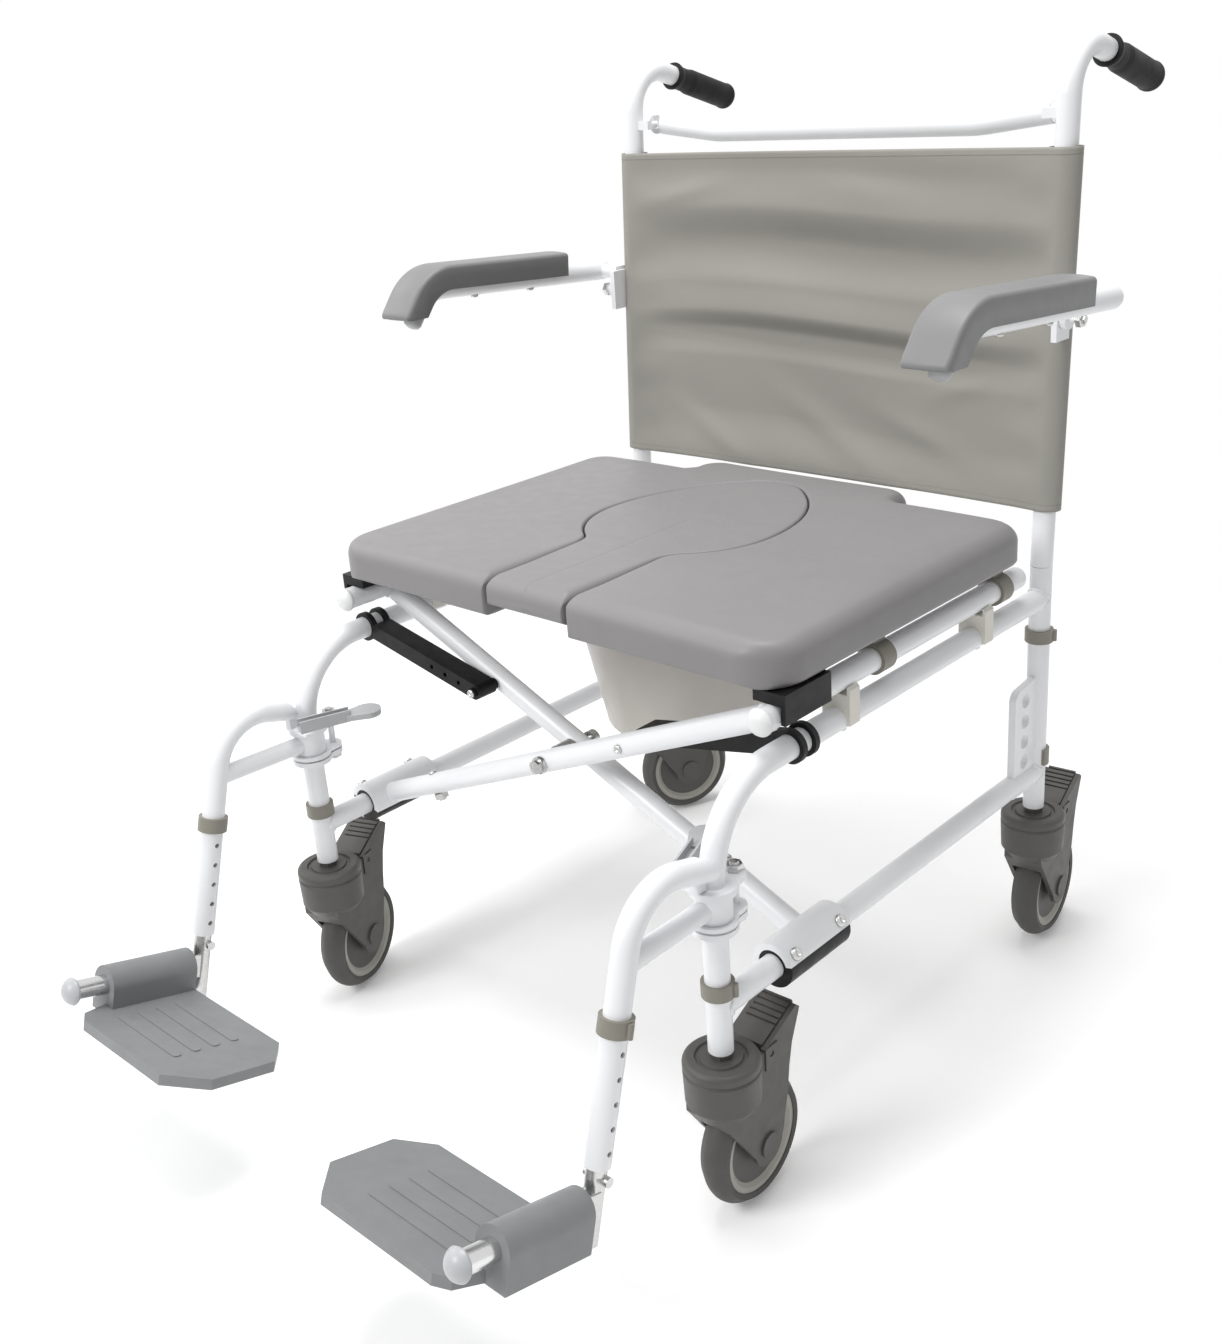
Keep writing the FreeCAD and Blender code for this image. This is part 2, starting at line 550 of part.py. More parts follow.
def seat_cushion():
    blank = padded("XY_Plane", seat_outline(), seat_height, on_seat, False)
    soft = rounded(blank, size("seat_edge_round"), lambda edge: level_edge(edge, seat_top))
    soft = rounded(soft, 7, lambda edge: level_edge(edge, size("seat_bottom")))
    crown = doc.addObject("Part::Sphere", "Crown")
    bind(crown, Radius="Sizes.seat_crown_radius")
    middle = (seat_front + size("seat_tongue")) / 2
    crown.Placement = Placement(at(0, middle, seat_top - size("seat_crown_radius")), Rotation())
    crowned = common(soft, crown)
    upper = padded("XY_Plane", keyhole(0, seat_front - 20), size("plug_depth") + 20,
                   Placement(at(0, 0, seat_top - size("plug_depth")), Rotation()), False)
    lower = padded("XY_Plane", keyhole(size("plug_ledge"), seat_front - 20), 80,
                   Placement(at(0, 0, size("seat_bottom") - 20), Rotation()), False)
    neck = size("neck_half_width")
    mouth = box(2 * neck, 140, 80, at(-neck, seat_front - 20, size("seat_bottom") - 20))
    node("seat_cushion", cut(crowned, upper, lower, mouth))
    plug_blank = padded("XY_Plane", keyhole(size("plug_gap"), seat_front), size("plug_depth") - clearance,
                        Placement(at(0, 0, seat_top - size("plug_depth") + clearance), Rotation()), False)
    plug_soft = rounded(plug_blank, 2.5, lambda edge: level_edge(edge, seat_top)
                        and edge.BoundBox.YMax > at(0, seat_front, 0).y + 1)
    node("seat_plug", common(plug_soft, crowned))


seat_cushion()


def seat_fixings():
    """Front blocks under the cushion, each with a roof on the seat tube and a wall outside it."""
    blocks = []
    roof_z, wall_in = tube_r + clearance, tube_r + 0.6
    seat_under = size("seat_bottom") - 0.2 - seat_z
    for side in sides.values():
        section = [(-side * 17, roof_z), (side * wall_in, roof_z), (side * wall_in, -5), (side * 17, -5),
                   (side * 17, seat_under), (-side * 17, seat_under)]
        blocks.append(padded("XZ_Plane", section, 66,
                             Placement(at(side * half_track, 117, seat_z), Rotation())))
    node("seat_front_blocks", group(*blocks))


seat_fixings()


def commode_pan():
    """Tapered bucket with a flat rim that slides on two ledged rails under the seat."""
    rim_z, floor_z = size("pan_rim_z"), size("pan_bottom_z")
    top_r, low_r, wall, rim_r = (size(name) for name in ("pan_top_radius", "pan_bottom_radius", "pan_wall",
                                                         "pan_rim_radius"))
    profile = [(0, 0), (low_r - 10, 0), (low_r - 3, 3, "arc"), (low_r, 10), (top_r, rim_z - floor_z - 3),
               (rim_r, rim_z - floor_z - 3), (rim_r, rim_z - floor_z), (top_r - wall, rim_z - floor_z),
               (low_r - wall, 11), (low_r - 5, 6, "arc"), (low_r - 11, wall), (0, wall)]
    node("commode_pan", turned(profile, Placement(at(0, size("pan_centre"), floor_z), Rotation())))
    rails = []
    rail_top, ledge_z = size("seat_bottom") - 0.2, rim_z - 3 - clearance
    for side in sides.values():
        inner, web, foot = top_r + 3, rim_r + 1, rim_r + 16
        outline = [(inner, ledge_z - 3), (web + 3, ledge_z - 3), (web + 3, rail_top - 3),
                   (foot, rail_top - 3), (foot, rail_top), (web, rail_top), (web, ledge_z), (inner, ledge_z)]
        rails.append(padded("XZ_Plane", [(side * a, b) for a, b in outline], 330,
                            Placement(at(0, 325, 0), Rotation())))
    node("pan_rails", group(*rails))


commode_pan()


def arm_path(x, start, nose):
    """The arm's axis from a place along it, forwards and down over the bend at the front."""
    rear_z, front_z = size("arm_tube_z"), size("arm_tube_z") + size("arm_rise")
    rear, corner = size("arm_rear"), size("arm_corner")
    start_z = front_z + (rear_z - front_z) * (start - corner) / (rear - corner)
    droop = math.radians(size("arm_droop"))
    tip = Vector(0, -math.cos(droop), -math.sin(droop)) * nose
    return [at(x, start, start_z), at(x, corner, front_z), at(x, corner, front_z) + tip]


def pad_section(start, direction):
    """Crowned section of the arm pad, standing on the arm's axis."""
    half, low, high, soft = size("arm_pad_width") / 2, 0.8, size("arm_pad_height"), 5
    bulge = soft * (1 - math.sqrt(0.5))
    upward = x_axis.cross(direction).normalize()
    if upward.z < 0:
        upward = -upward
    corners = [(-half + 2, low), (half - 2, low), (half, low + 2), (half, high - soft - 1.5),
               (half - bulge, high - 1.5 - bulge), (half - soft, high - 1.5), (0, high),
               (-half + soft, high - 1.5), (-half + bulge, high - 1.5 - bulge), (-half, high - soft - 1.5),
               (-half, low + 2)]
    spots = [start + x_axis * a + upward * b for a, b in corners]
    edges = [Part.LineSegment(spots[0], spots[1]), Part.LineSegment(spots[1], spots[2]),
             Part.LineSegment(spots[2], spots[3]), Part.Arc(*spots[3:6]), Part.Arc(*spots[5:8]),
             Part.Arc(*spots[7:10]), Part.LineSegment(spots[9], spots[10]),
             Part.LineSegment(spots[10], spots[0])]
    return Part.Wire([edge.toShape() for edge in edges])


def armrest(name, side):
    """Flip-up arm: a drooped tube with its rear ear on the post's pin, and the foam pad along it."""
    x, z, rear = side * size("arm_x"), size("arm_tube_z"), size("arm_rear")
    bend = size("arm_bend")
    axis = arm_path(x, rear, size("arm_nose"))
    tube = bent_tube(axis, bend, tube_radius)
    cap = turned([(0, 0), (tube_r, 0), (tube_r, 3), (tube_r - 3, 7, "arc"), (3, 9), (0, 9)],
                 Placement(axis[2], turn_to(axis[2] - axis[1])))
    tail = doc.addObject("Part::Sphere", "Tail")
    bind(tail, Radius=tube_radius)
    tail.Placement = Placement(at(x, rear, z), Rotation())
    ear_x = side * (half_track + tube_r + 8.5)
    stub = rod_between(8, at(x, rear - 4, z), at(ear_x, rear - 4, z))
    pivot_z = size("arm_pivot_z")
    ear = padded("YZ_Plane", [(-11, 0), (0, -11, "arc"), (11, 0), (22, 12), (22, 28), (-2, 28)], 6,
                 Placement(at(ear_x, size("arm_pivot_y"), pivot_z), Rotation()))
    bore = cylinder(4 + running_fit, 60, at(ear_x - 30, size("arm_pivot_y"), pivot_z), x_axis)
    node(f"{name}_armrest_tube", cut(fuse(tube, cap, tail, stub, ear), bore))
    pad_axis = arm_path(x, size("arm_pad_rear"), size("arm_pad_nose"))
    path = doc.addObject("Part::Feature", "PadPath")
    path.Shape = bent_path(pad_axis, bend)
    section = doc.addObject("Part::Feature", "PadSection")
    section.Shape = pad_section(pad_axis[0], pad_axis[1] - pad_axis[0])
    pad = doc.addObject("Part::Sweep", "Pad")
    pad.Sections = [section]
    pad.Spine = (path, ["Edge1", "Edge2", "Edge3"])
    pad.Solid = True
    room_axis = [axis[0], axis[1], axis[2] + (axis[2] - axis[1]).normalize() * 12]
    tube_room = bent_tube(room_axis, bend, tube_r + clearance)
    below_nose = box(60, 140, 60, at(x - 30, size("arm_corner") - 100, size("arm_pad_level") - 60))
    node(f"{name}_armrest_pad", cut(pad, tube_room, below_nose))


# The leg of a footrest leans, and the strut, foot tube and plate are square to it.
leg_lean = math.atan2(size("hanger_corner_y") - size("leg_end_y"),
                      size("hanger_corner_z") - size("leg_end_z"))
leg_turn = Rotation(x_axis, -math.degrees(leg_lean))


def footrest(name, side):
    """Swing-away hanger, its clips and lever, the sliding strut, the foot tube and the plate."""
    x = side * (half_track + 3)
    leg_end = at(x, size("leg_end_y"), size("leg_end_z"))
    local = Placement(leg_end, leg_turn)
    up = leg_turn.multVec(z_axis)
    upper = bent_tube([at(x, -6, 362), at(x, size("hanger_corner_y"), size("hanger_corner_z")), leg_end],
                      size("hanger_bend"), tube_radius)
    post_x = side * half_track
    stay = rod_between(9.5, at(post_x, -12, 323), leg_end + up * 168)
    sleeve = cylinder(16.5, 24, at(post_x, 0, 311.5))
    post_room = cylinder(tube_r + running_fit, 200, at(post_x, 0, 250))
    bend_foot, bend_room = upper_z - size("frame_bend"), 44
    swing_room = turned([(0, 0), (tube_r + 0.5, 0), (tube_r + 13.5, bend_room), (0, bend_room)],
                        Placement(at(post_x, 0, bend_foot), Rotation()))
    leg_bore = cylinder("Sizes.leg_bore_diameter / 2", "Sizes.leg_bore_depth + 1", leg_end - up, up)
    outward = x_axis * side
    hole_steps = [14 + 21 * step for step in range(5)]
    holes = [cylinder(2.5, 40, leg_end + up * step - outward * 20, outward) for step in hole_steps]
    lever_x, lever_pivot, lever_low, shelf_thick = post_x - side * 22, -18, 347.5, 3
    shelf_z = lever_low - clearance - shelf_thick
    shelf = box(31, 12, shelf_thick, at(min(post_x, post_x - side * 31), lever_pivot - 6, shelf_z))
    shelf_web = box(8, 12, 16, at(post_x - 4, lever_pivot - 6, shelf_z))
    lever_pin = cylinder(3, 8, at(lever_x, lever_pivot, lever_low - 3))
    hanger = cut(fuse(upper, stay, sleeve, shelf, shelf_web), post_room, swing_room, leg_bore, *holes)
    node(f"{name}_hanger", fuse(hanger, lever_pin))
    node(f"{name}_hanger_clips", snap_band(15, leg_end + up * 112, up, Vector(side, 0, 0)))
    channel = centred_box((12, 56, 13), at(lever_x, 4, lever_low + 6.5))
    trough = centred_box((8, 60, 9), at(lever_x, 4, lever_low + 9.5))
    pin_bore = cylinder(3 + running_fit, 20, at(lever_x, lever_pivot, lever_low - 5))
    paddle = padded("XY_Plane", [(-8, 26), (8, 26), (13, 44), (0, 66, "arc"), (-13, 44)], 6,
                    Placement(at(lever_x, 0, lever_low + 1.5), Rotation()), False)
    lever_turn = Placement(Vector(), Rotation(z_axis, side * 20), at(lever_x, lever_pivot, 0))
    node(f"{name}_hanger_lever", fuse(cut(channel, trough, pin_bore), paddle), lever_turn)
    strut_end = size("strut_reach")
    strut = cylinder("Sizes.strut_diameter / 2", "Sizes.strut_reach + 106", Vector(0, 0, -strut_end))
    flat = box(40, 40, strut_end - 6, Vector(6.5 if side > 0 else -46.5, -20, -strut_end - 1))
    strut_holes = [cylinder(2.5, 40, Vector(-20, 0, step), x_axis) for step in hole_steps]
    drop = size("foot_tube_drop")
    clevis = centred_box((15, 15, 24), Vector(0, -6, -drop))
    bolt = cylinder(4.5, 26, Vector(-13, 3, -drop + 22), x_axis)
    node(f"{name}_footrest_strut", fuse(cut(strut, flat, *strut_holes), clevis, bolt), local)
    tube_start = -13.7
    foot_tube = cylinder("Sizes.foot_tube_diameter / 2", f"Sizes.foot_tube_length + {tube_start}",
                         Vector(0, tube_start, -drop), -y_axis)
    foot_r = size("foot_tube_diameter") / 2
    cap = turned([(0, 0), (foot_r + 3, 0), (foot_r + 4, 2), (foot_r - 1, 9, "arc"), (3, 11.5), (0, 11.5)],
                 Placement(Vector(0, -size("foot_tube_length"), -drop), Rotation(z_axis, -y_axis)))
    node(f"{name}_foot_tube", fuse(foot_tube, cap), local)
    plate_low = -size("foot_plate_drop") - size("foot_plate_thickness") / 2
    plate_top = plate_low + size("foot_plate_thickness")
    reach, house_r = x * side - size("plate_inner_x"), 19
    front, back = -16 - size("foot_plate_depth"), -16
    outline = [(house_r, front + 34), (house_r, back), (-reach + 30, back), (-reach, back - 26),
               (-reach, front + 34), (-reach + 34, front), (-26, front), (-12, front + 8), (-4, front + 34)]
    plate = padded("XY_Plane", [(side * a, b) for a, b in outline], "Sizes.foot_plate_thickness",
                   Placement(Vector(0, 0, plate_low), Rotation()), False)
    house_length = size("foot_plate_depth") - 34
    house = cylinder(house_r, house_length, Vector(0, back, -drop), -y_axis)
    wall = box(2 * house_r, house_length, -drop - plate_low, Vector(-house_r, back - house_length, plate_low))
    house_bore = cylinder(foot_r + running_fit, 200, Vector(0, 20, -drop), -y_axis)
    rib = [(-48, -4.5), (48, -4.5), (52.5, 0, "arc"), (48, 4.5), (-48, 4.5), (-52.5, 0, "arc")]
    ribs = [padded("XY_Plane", rib, 1.5, Placement(Vector(-side * 88, back - 32 - 21 * step, plate_top - 0.5),
                                                   Rotation()), False) for step in range(4)]
    node(f"{name}_footplate", cut(fuse(plate, house, wall, *ribs), house_bore), local)


for side_name, side_sign in sides.items():
    armrest(side_name, side_sign)
    footrest(side_name, side_sign)

# Castors: swivel housing with fork cheeks, wheel and total-lock pedal, each turned as it stands.
castors = {"front_left": (1, 0, 2), "front_right": (-1, 0, 20),
           "rear_left": (1, wheel_base, 6), "rear_right": (-1, wheel_base, -25)}
trail, wheel_r = size("castor_trail"), size("wheel_diameter") / 2
axle_point = Vector(0, trail, wheel_r)
wheel_half = size("wheel_width") / 2


def castor(name, side, along, angle):
    place = Placement(at(side * half_track, along, 0), Rotation(z_axis, angle))
    head_r, top, low = size("castor_head_diameter") / 2, size("castor_head_top"), size("castor_head_bottom")
    head = turned([(0, low), (head_r - 7, low), (head_r - 1, low + 9), (head_r, 159), (head_r - 1.3, 161),
                   (head_r, 163), (head_r, top - 5), (head_r - 1.5, top - 1.5, "arc"), (head_r - 5, top),
                   (24, top), (23, top - 2), (20, top - 2), (19, top), (0, top)])
    cheek_gap, cheek = wheel_half + 1.5, 5
    profile = [(-26, low), (trail - 20, wheel_r - 4), (trail, wheel_r - 21, "arc"), (trail + 20, wheel_r - 4),
               (trail + 31, 100), (trail + 35, 128), (trail + 40, 150), (89, 180), (84, 184.5), (56, 172.5),
               (34, 163), (-26, 160)]
    fork = padded("YZ_Plane", profile, 2 * (cheek_gap + cheek))
    axle = cylinder("Sizes.axle_diameter / 2", 2 * (cheek_gap + cheek) + 4,
                    axle_point - Vector(cheek_gap + cheek + 2, 0, 0), x_axis)
    bosses = [cylinder(12, cheek + 2.5, axle_point + Vector(sign * cheek_gap, 0, 0), x_axis * sign)
              for sign in (1, -1)]
    cavity = cylinder(wheel_r + 3, 2 * cheek_gap, axle_point - Vector(cheek_gap, 0, 0), x_axis)
    pedal_room = box(2 * cheek_gap + 0.2, 80, 60, Vector(-cheek_gap - 0.1, 33, 146))
    stem_bore = cylinder(size("stem_pin_diameter") / 2 + running_fit, 80,
                         Vector(0, 0, size("stem_height") - size("stem_pin_length") - clearance))
    nut_r, sixth = 10.5, math.pi / 3
    hexagon = [(nut_r * math.cos(step * sixth), nut_r * math.sin(step * sixth)) for step in range(6)]
    nut = padded("XY_Plane", hexagon, size("stem_height") - top - clearance,
                 Placement(Vector(0, 0, top), Rotation()), False)
    hull = cut(fuse(head, fork), cavity, pedal_room)
    pin_room = cylinder(3 + running_fit, 80, Vector(-40, 43, 157), x_axis)
    ears = [box(6, 18, 22, Vector(sign * 20 - 3, 34, 143)) for sign in (1, -1)]
    node(f"{name}_castor_housing", cut(fuse(hull, *bosses, axle, nut, *ears), stem_bore, pin_room), place)

    spin = Placement(axle_point, Rotation(z_axis, x_axis))
    bore, hub_half = size("axle_diameter") / 2 + running_fit, wheel_half - 2
    hub_r = wheel_r - 13
    hub = turned([(bore, -wheel_half), (11, -wheel_half), (13, -hub_half + 4), (hub_r - 9, -hub_half + 3),
                  (hub_r - 5, -hub_half), (hub_r, -hub_half), (hub_r, hub_half), (hub_r - 5, hub_half),
                  (hub_r - 9, hub_half - 3), (13, hub_half - 4), (11, wheel_half), (bore, wheel_half)], spin)
    node(f"{name}_wheel_hub", hub, place.multiply(spin))
    rim_half = wheel_half - 1
    tyre = turned([(hub_r + 0.05, -rim_half), (hub_r + 5, -wheel_half), (wheel_r - 4, -wheel_half + 5),
                   (wheel_r, 0, "arc"), (wheel_r - 4, wheel_half - 5), (hub_r + 5, wheel_half),
                   (hub_r + 0.05, rim_half)], spin)
    node(f"{name}_tyre", tyre, place.multiply(spin))
    pedal_profile = [(36, 152), (48, 150), (60, 162), (88, 176), (86, 186), (56, 174), (38, 166)]
    pedal = padded("YZ_Plane", pedal_profile, 31.6)
    pedal_ribs = [box(50, 2, 2.2, Vector(-25, 58 + 6 * step, 173.5 + 2.45 * step)) for step in range(5)]
    pin = cylinder(3, 44, Vector(-22, 43, 157), x_axis)
    node(f"{name}_brake_pedal", fuse(cut(pedal, *pedal_ribs), pin), place)


for castor_name, (side_sign, along_base, swivel) in castors.items():
    castor(castor_name, side_sign, along_base, swivel)

doc.recompute()
faults = [thing.Name for thing in doc.Objects if {"Invalid", "Error"} & set(thing.State)]
faults += [piece.Label for piece in nodes if piece.Shape.isNull() or not piece.Shape.isValid()]
if faults:
    raise RuntimeError("failed: " + ", ".join(faults))
os.makedirs("parts", exist_ok=True)
for piece in nodes:
    piece.Shape.exportStep(f"parts/{piece.Label}.step")
print(len(nodes), "sub-parts written")
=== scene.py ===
import json
import math
import bmesh
import bpy
import numpy as np
from mathutils import Matrix, Vector


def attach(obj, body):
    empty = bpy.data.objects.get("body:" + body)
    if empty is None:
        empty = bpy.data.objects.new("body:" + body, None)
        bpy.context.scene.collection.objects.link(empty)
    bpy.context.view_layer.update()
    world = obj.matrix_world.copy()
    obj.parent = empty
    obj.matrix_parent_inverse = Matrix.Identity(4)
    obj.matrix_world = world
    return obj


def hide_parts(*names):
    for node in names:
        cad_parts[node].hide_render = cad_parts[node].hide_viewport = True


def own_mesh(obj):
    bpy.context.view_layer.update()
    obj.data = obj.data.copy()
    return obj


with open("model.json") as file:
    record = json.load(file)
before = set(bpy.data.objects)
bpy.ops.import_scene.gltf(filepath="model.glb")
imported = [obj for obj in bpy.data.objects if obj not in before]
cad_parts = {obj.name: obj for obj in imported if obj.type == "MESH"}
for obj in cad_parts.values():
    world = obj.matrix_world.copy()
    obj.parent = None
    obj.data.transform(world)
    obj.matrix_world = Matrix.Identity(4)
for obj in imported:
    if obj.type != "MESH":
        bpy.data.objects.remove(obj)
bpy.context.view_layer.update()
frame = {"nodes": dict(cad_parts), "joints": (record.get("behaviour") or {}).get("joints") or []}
nodes = frame["nodes"]


def tint(red, green, blue):                      # screen colour, 0 to 255, as linear light
    parts = np.array([red, green, blue]) / 255
    linear = np.where(parts <= 0.04045, parts / 12.92, ((parts + 0.055) / 1.055) ** 2.4)
    return (*linear.tolist(), 1.0)


# view and light
photoView = {
    "imageWidth": 1220, "imageHeight": 1344,
    "place": (0.9939, -1.0502, 0.9888),          # metres, ahead and to the seated person's left
    "heading": 44.137, "downTilt": 20.547, "roll": -4.13,
    "focalPixels": 1500.8, "axisPixel": (615.6, 622.7),
}


def addCamera(view):                             # lens and shift from pixels; heading, tilt and roll turn the axes
    data = bpy.data.cameras.new("photoCamera")
    data.sensor_fit = "HORIZONTAL"
    data.sensor_width = 36.0
    data.lens = view["focalPixels"] * data.sensor_width / view["imageWidth"]
    data.shift_x = (view["imageWidth"] / 2 - view["axisPixel"][0]) / view["imageWidth"]
    data.shift_y = (view["axisPixel"][1] - view["imageHeight"] / 2) / view["imageWidth"]
    data.clip_start, data.clip_end = 0.05, 40.0
    camera = bpy.data.objects.new("photoCamera", data)
    camera.location = view["place"]
    heading, tilt, roll = (math.radians(view[key]) for key in ("heading", "downTilt", "roll"))
    forward = np.array([-math.sin(heading) * math.cos(tilt), math.cos(heading) * math.cos(tilt), -math.sin(tilt)])
    right = np.array([math.cos(heading), math.sin(heading), 0.0])
    above = np.cross(right, forward)
    turnedRight = math.cos(roll) * right + math.sin(roll) * above
    turnedUp = -math.sin(roll) * right + math.cos(roll) * above
    axes = np.stack([turnedRight, turnedUp, -forward], axis=1)
    matrix = np.eye(4)
    matrix[:3, :3], matrix[:3, 3] = axes, view["place"]
    camera.matrix_world = Matrix(matrix.tolist())
    bpy.context.scene.collection.objects.link(camera)
    bpy.context.scene.camera = camera


class Wire:                                      # a node's output that takes part in Python arithmetic
    def __init__(self, tree, socket=None):
        self.tree, self.socket = tree, socket

    def node(self, kind, settings=None, sockets=None, out=0):    # settings first, then each socket's link or value
        made = self.tree.nodes.new(kind)
        for name, value in (settings or {}).items():
            setattr(made, name, value)
        for name, value in (sockets or {}).items():
            if isinstance(value, Wire):
                self.tree.links.new(value.socket, made.inputs[name])
            else:
                made.inputs[name].default_value = value
        return Wire(self.tree, made.outputs[out])

    def output(self, name):                      # another output of the node that this wire leaves
        return Wire(self.tree, self.socket.node.outputs[name])

    def maths(self, operation, first, second=0.0):
        return self.node("ShaderNodeMath", {"operation": operation}, {0: first, 1: second})

    def __add__(self, other):
        return self.maths("ADD", self, other)

    def __radd__(self, other):
        return self.maths("ADD", other, self)

    def __sub__(self, other):
        return self.maths("SUBTRACT", self, other)

    def __rsub__(self, other):
        return self.maths("SUBTRACT", other, self)

    def __mul__(self, other):
        return self.maths("MULTIPLY", self, other)

    def __rmul__(self, other):
        return self.maths("MULTIPLY", other, self)

    def __truediv__(self, other):
        return self.maths("DIVIDE", self, other)

    def __rtruediv__(self, other):
        return self.maths("DIVIDE", other, self)

    def __gt__(self, other):
        return self.maths("GREATER_THAN", self, other)

    def __lt__(self, other):
        return self.maths("LESS_THAN", self, other)


def newFinish(name, **plain):                    # a principled material and a wire into its node tree
    made = bpy.data.materials.new(name)
    made.use_nodes = True
    tree = made.node_tree
    tree.nodes.clear()
    shader = tree.nodes.new("ShaderNodeBsdfPrincipled")
    output = tree.nodes.new("ShaderNodeOutputMaterial")
    tree.links.new(shader.outputs[0], output.inputs[0])
    for socket, value in plain.items():
        shader.inputs[socket.replace("_", " ")].default_value = value
    return made, Wire(tree), shader


def feed(shader, **wires):                       # links wires to the shader's sockets, a low line for each space
    for socket, wire in wires.items():
        wire.tree.links.new(wire.socket, shader.inputs[socket.replace("_", " ")])


def objectPlace(pen):                            # place in the shared frame, in metres
    return pen.node("ShaderNodeTexCoord", out="Object")


def surfacePlace(pen):                           # place on the piece's own surface, in metres
    return pen.node("ShaderNodeUVMap", {"uv_map": "UVMap"})


def noise(pen, place, scale, detail=2.0, roughness=0.5):    # cloudy value about 0.5
    return pen.node("ShaderNodeTexNoise", {}, {"Vector": place, "Scale": scale, "Detail": detail,
                                               "Roughness": roughness})


def blendColour(pen, share, low, high):          # low where share is 0, high where it is 1
    return pen.node("ShaderNodeMix", {"data_type": "RGBA"}, {"Factor": share, 6: low, 7: high}, out=2)


def bump(pen, height, strength, distance, under=None):    # height as a bump, over another bump where given
    sockets = {"Height": height, "Strength": strength, "Distance": distance}
    if under is not None:
        sockets["Normal"] = under
    return pen.node("ShaderNodeBump", {}, sockets)


def rangeOf(pen, wire, low, high, newLow, newHigh):    # low to high becomes newLow to newHigh, in a straight line
    return pen.node("ShaderNodeMapRange", {}, {"Value": wire, "From Min": low, "From Max": high,
                                               "To Min": newLow, "To Max": newHigh})


def shadeOf(colour, factor):                     # colour times factor, at most white
    return (*(min(1.0, part * factor) for part in colour[:3]), 1.0)


whiteCoat = {"colour": tint(236, 237, 239), "shade": tint(234, 235, 237), "roughness": 0.3, "peel": 700.0}


def powderCoatFinish(look):                      # orange-peel bump under a satin white coat
    made, pen, shader = newFinish("whitePowderCoat", IOR=1.5)
    place = objectPlace(pen)
    cloud, peel = noise(pen, place, 9.0, 3.0), noise(pen, place, look["peel"], 1.0)
    feed(shader, Base_Color=blendColour(pen, cloud, look["shade"], look["colour"]),
         Roughness=rangeOf(pen, noise(pen, place, 42.0, 2.0), 0.3, 0.7, look["roughness"] - 0.02,
                           look["roughness"] + 0.02),
         Normal=bump(pen, peel, 0.02, 0.0002))
    return made


brightSteel = {"colour": (0.62, 0.62, 0.61, 1.0), "roughness": 0.24}


def brightFinish(look):                          # plated steel with fine smears
    made, pen, shader = newFinish("platedSteel", Metallic=1.0)
    place = objectPlace(pen)
    smear = noise(pen, place, 120.0, 4.0, 0.6)
    feed(shader, Base_Color=blendColour(pen, smear, shadeOf(look["colour"], 0.82), look["colour"]),
         Roughness=rangeOf(pen, smear, 0.25, 0.75, look["roughness"] - 0.08, look["roughness"] + 0.14),
         Normal=bump(pen, noise(pen, place, 900.0, 1.0), 0.05, 0.0002))
    return made


# moulded plastic and rubber; grain per metre, its depth, the spread of the colour and the index where not the usual
plastics = {
    "blackMoulding": {"colour": tint(15, 15, 15), "roughness": 0.44, "ior": 1.34},
    "gripRubber": {"colour": tint(10, 10, 9), "roughness": 0.58, "grain": 700.0, "depth": 0.0006, "ior": 1.34},
    "warmGreyClip": {"colour": tint(132, 129, 119), "roughness": 0.45},
    "paleCradle": {"colour": tint(222, 219, 210), "roughness": 0.40},
    "whiteCap": {"colour": tint(226, 227, 227), "roughness": 0.3},
    "footplatePlastic": {"colour": tint(125, 127, 128), "roughness": 0.44},
    "castorPlastic": {"colour": tint(80, 78, 75), "roughness": 0.47},
    "tyreRubber": {"colour": tint(74, 73, 71), "roughness": 0.62, "grain": 600.0, "depth": 0.0005},
    "leverGrey": {"colour": tint(176, 177, 178), "roughness": 0.36},
    "panPlastic": {"colour": tint(184, 180, 174), "roughness": 0.34, "grain": 500.0, "depth": 0.0002, "spread": 0.05},
}


def mouldedFinish(name, colour, roughness, grain=950.0, depth=0.0003, spread=0.12, ior=1.46):
    # colour and roughness wander a little either way, over a fine grain
    made, pen, shader = newFinish(name, IOR=ior)
    place = objectPlace(pen)
    cloud, spark = noise(pen, place, 26.0, 4.0, 0.6), noise(pen, place, grain, 2.0)
    feed(shader, Base_Color=blendColour(pen, cloud, shadeOf(colour, 1 - spread), shadeOf(colour, 1 + spread)),
         Roughness=rangeOf(pen, noise(pen, place, 70.0, 3.0), 0.3, 0.7, roughness - 0.06, roughness + 0.08),
         Normal=bump(pen, spark, 0.22, depth))
    return made


def wheelFinish(name, centre, axle, look):       # dark hub with a pale ring, told apart by distance from the axle
    made, pen, shader = newFinish(name, IOR=1.46)
    place = objectPlace(pen)
    offset = pen.node("ShaderNodeVectorMath", {"operation": "SUBTRACT"}, {0: place, 1: centre})
    across = pen.node("ShaderNodeVectorMath", {"operation": "CROSS_PRODUCT"}, {0: offset, 1: axle})
    radius = pen.node("ShaderNodeVectorMath", {"operation": "LENGTH"}, {0: across}, out="Value")
    ring = (radius > look["ringInner"]) * (radius < look["ringOuter"])
    cloud = noise(pen, place, 40.0, 4.0, 0.6)
    dark = blendColour(pen, cloud, shadeOf(look["hub"], 0.85), shadeOf(look["hub"], 1.15))
    feed(shader, Base_Color=blendColour(pen, ring, dark, look["ring"]),
         Roughness=rangeOf(pen, cloud, 0.3, 0.7, 0.42, 0.58),
         Normal=bump(pen, noise(pen, place, 900.0, 2.0), 0.2, 0.0003))
    return made


castorLook = {"hub": plastics["castorPlastic"]["colour"], "ring": tint(160, 158, 150), "ringInner": 0.0405,
              "ringOuter": 0.0496}

clothLook = {"colour": tint(151, 149, 142), "thread": 0.0011, "roughness": 0.72, "hem": 0.007, "stitch": 0.0032,
             "seamHalf": 0.0007, "hemStep": 0.0004}


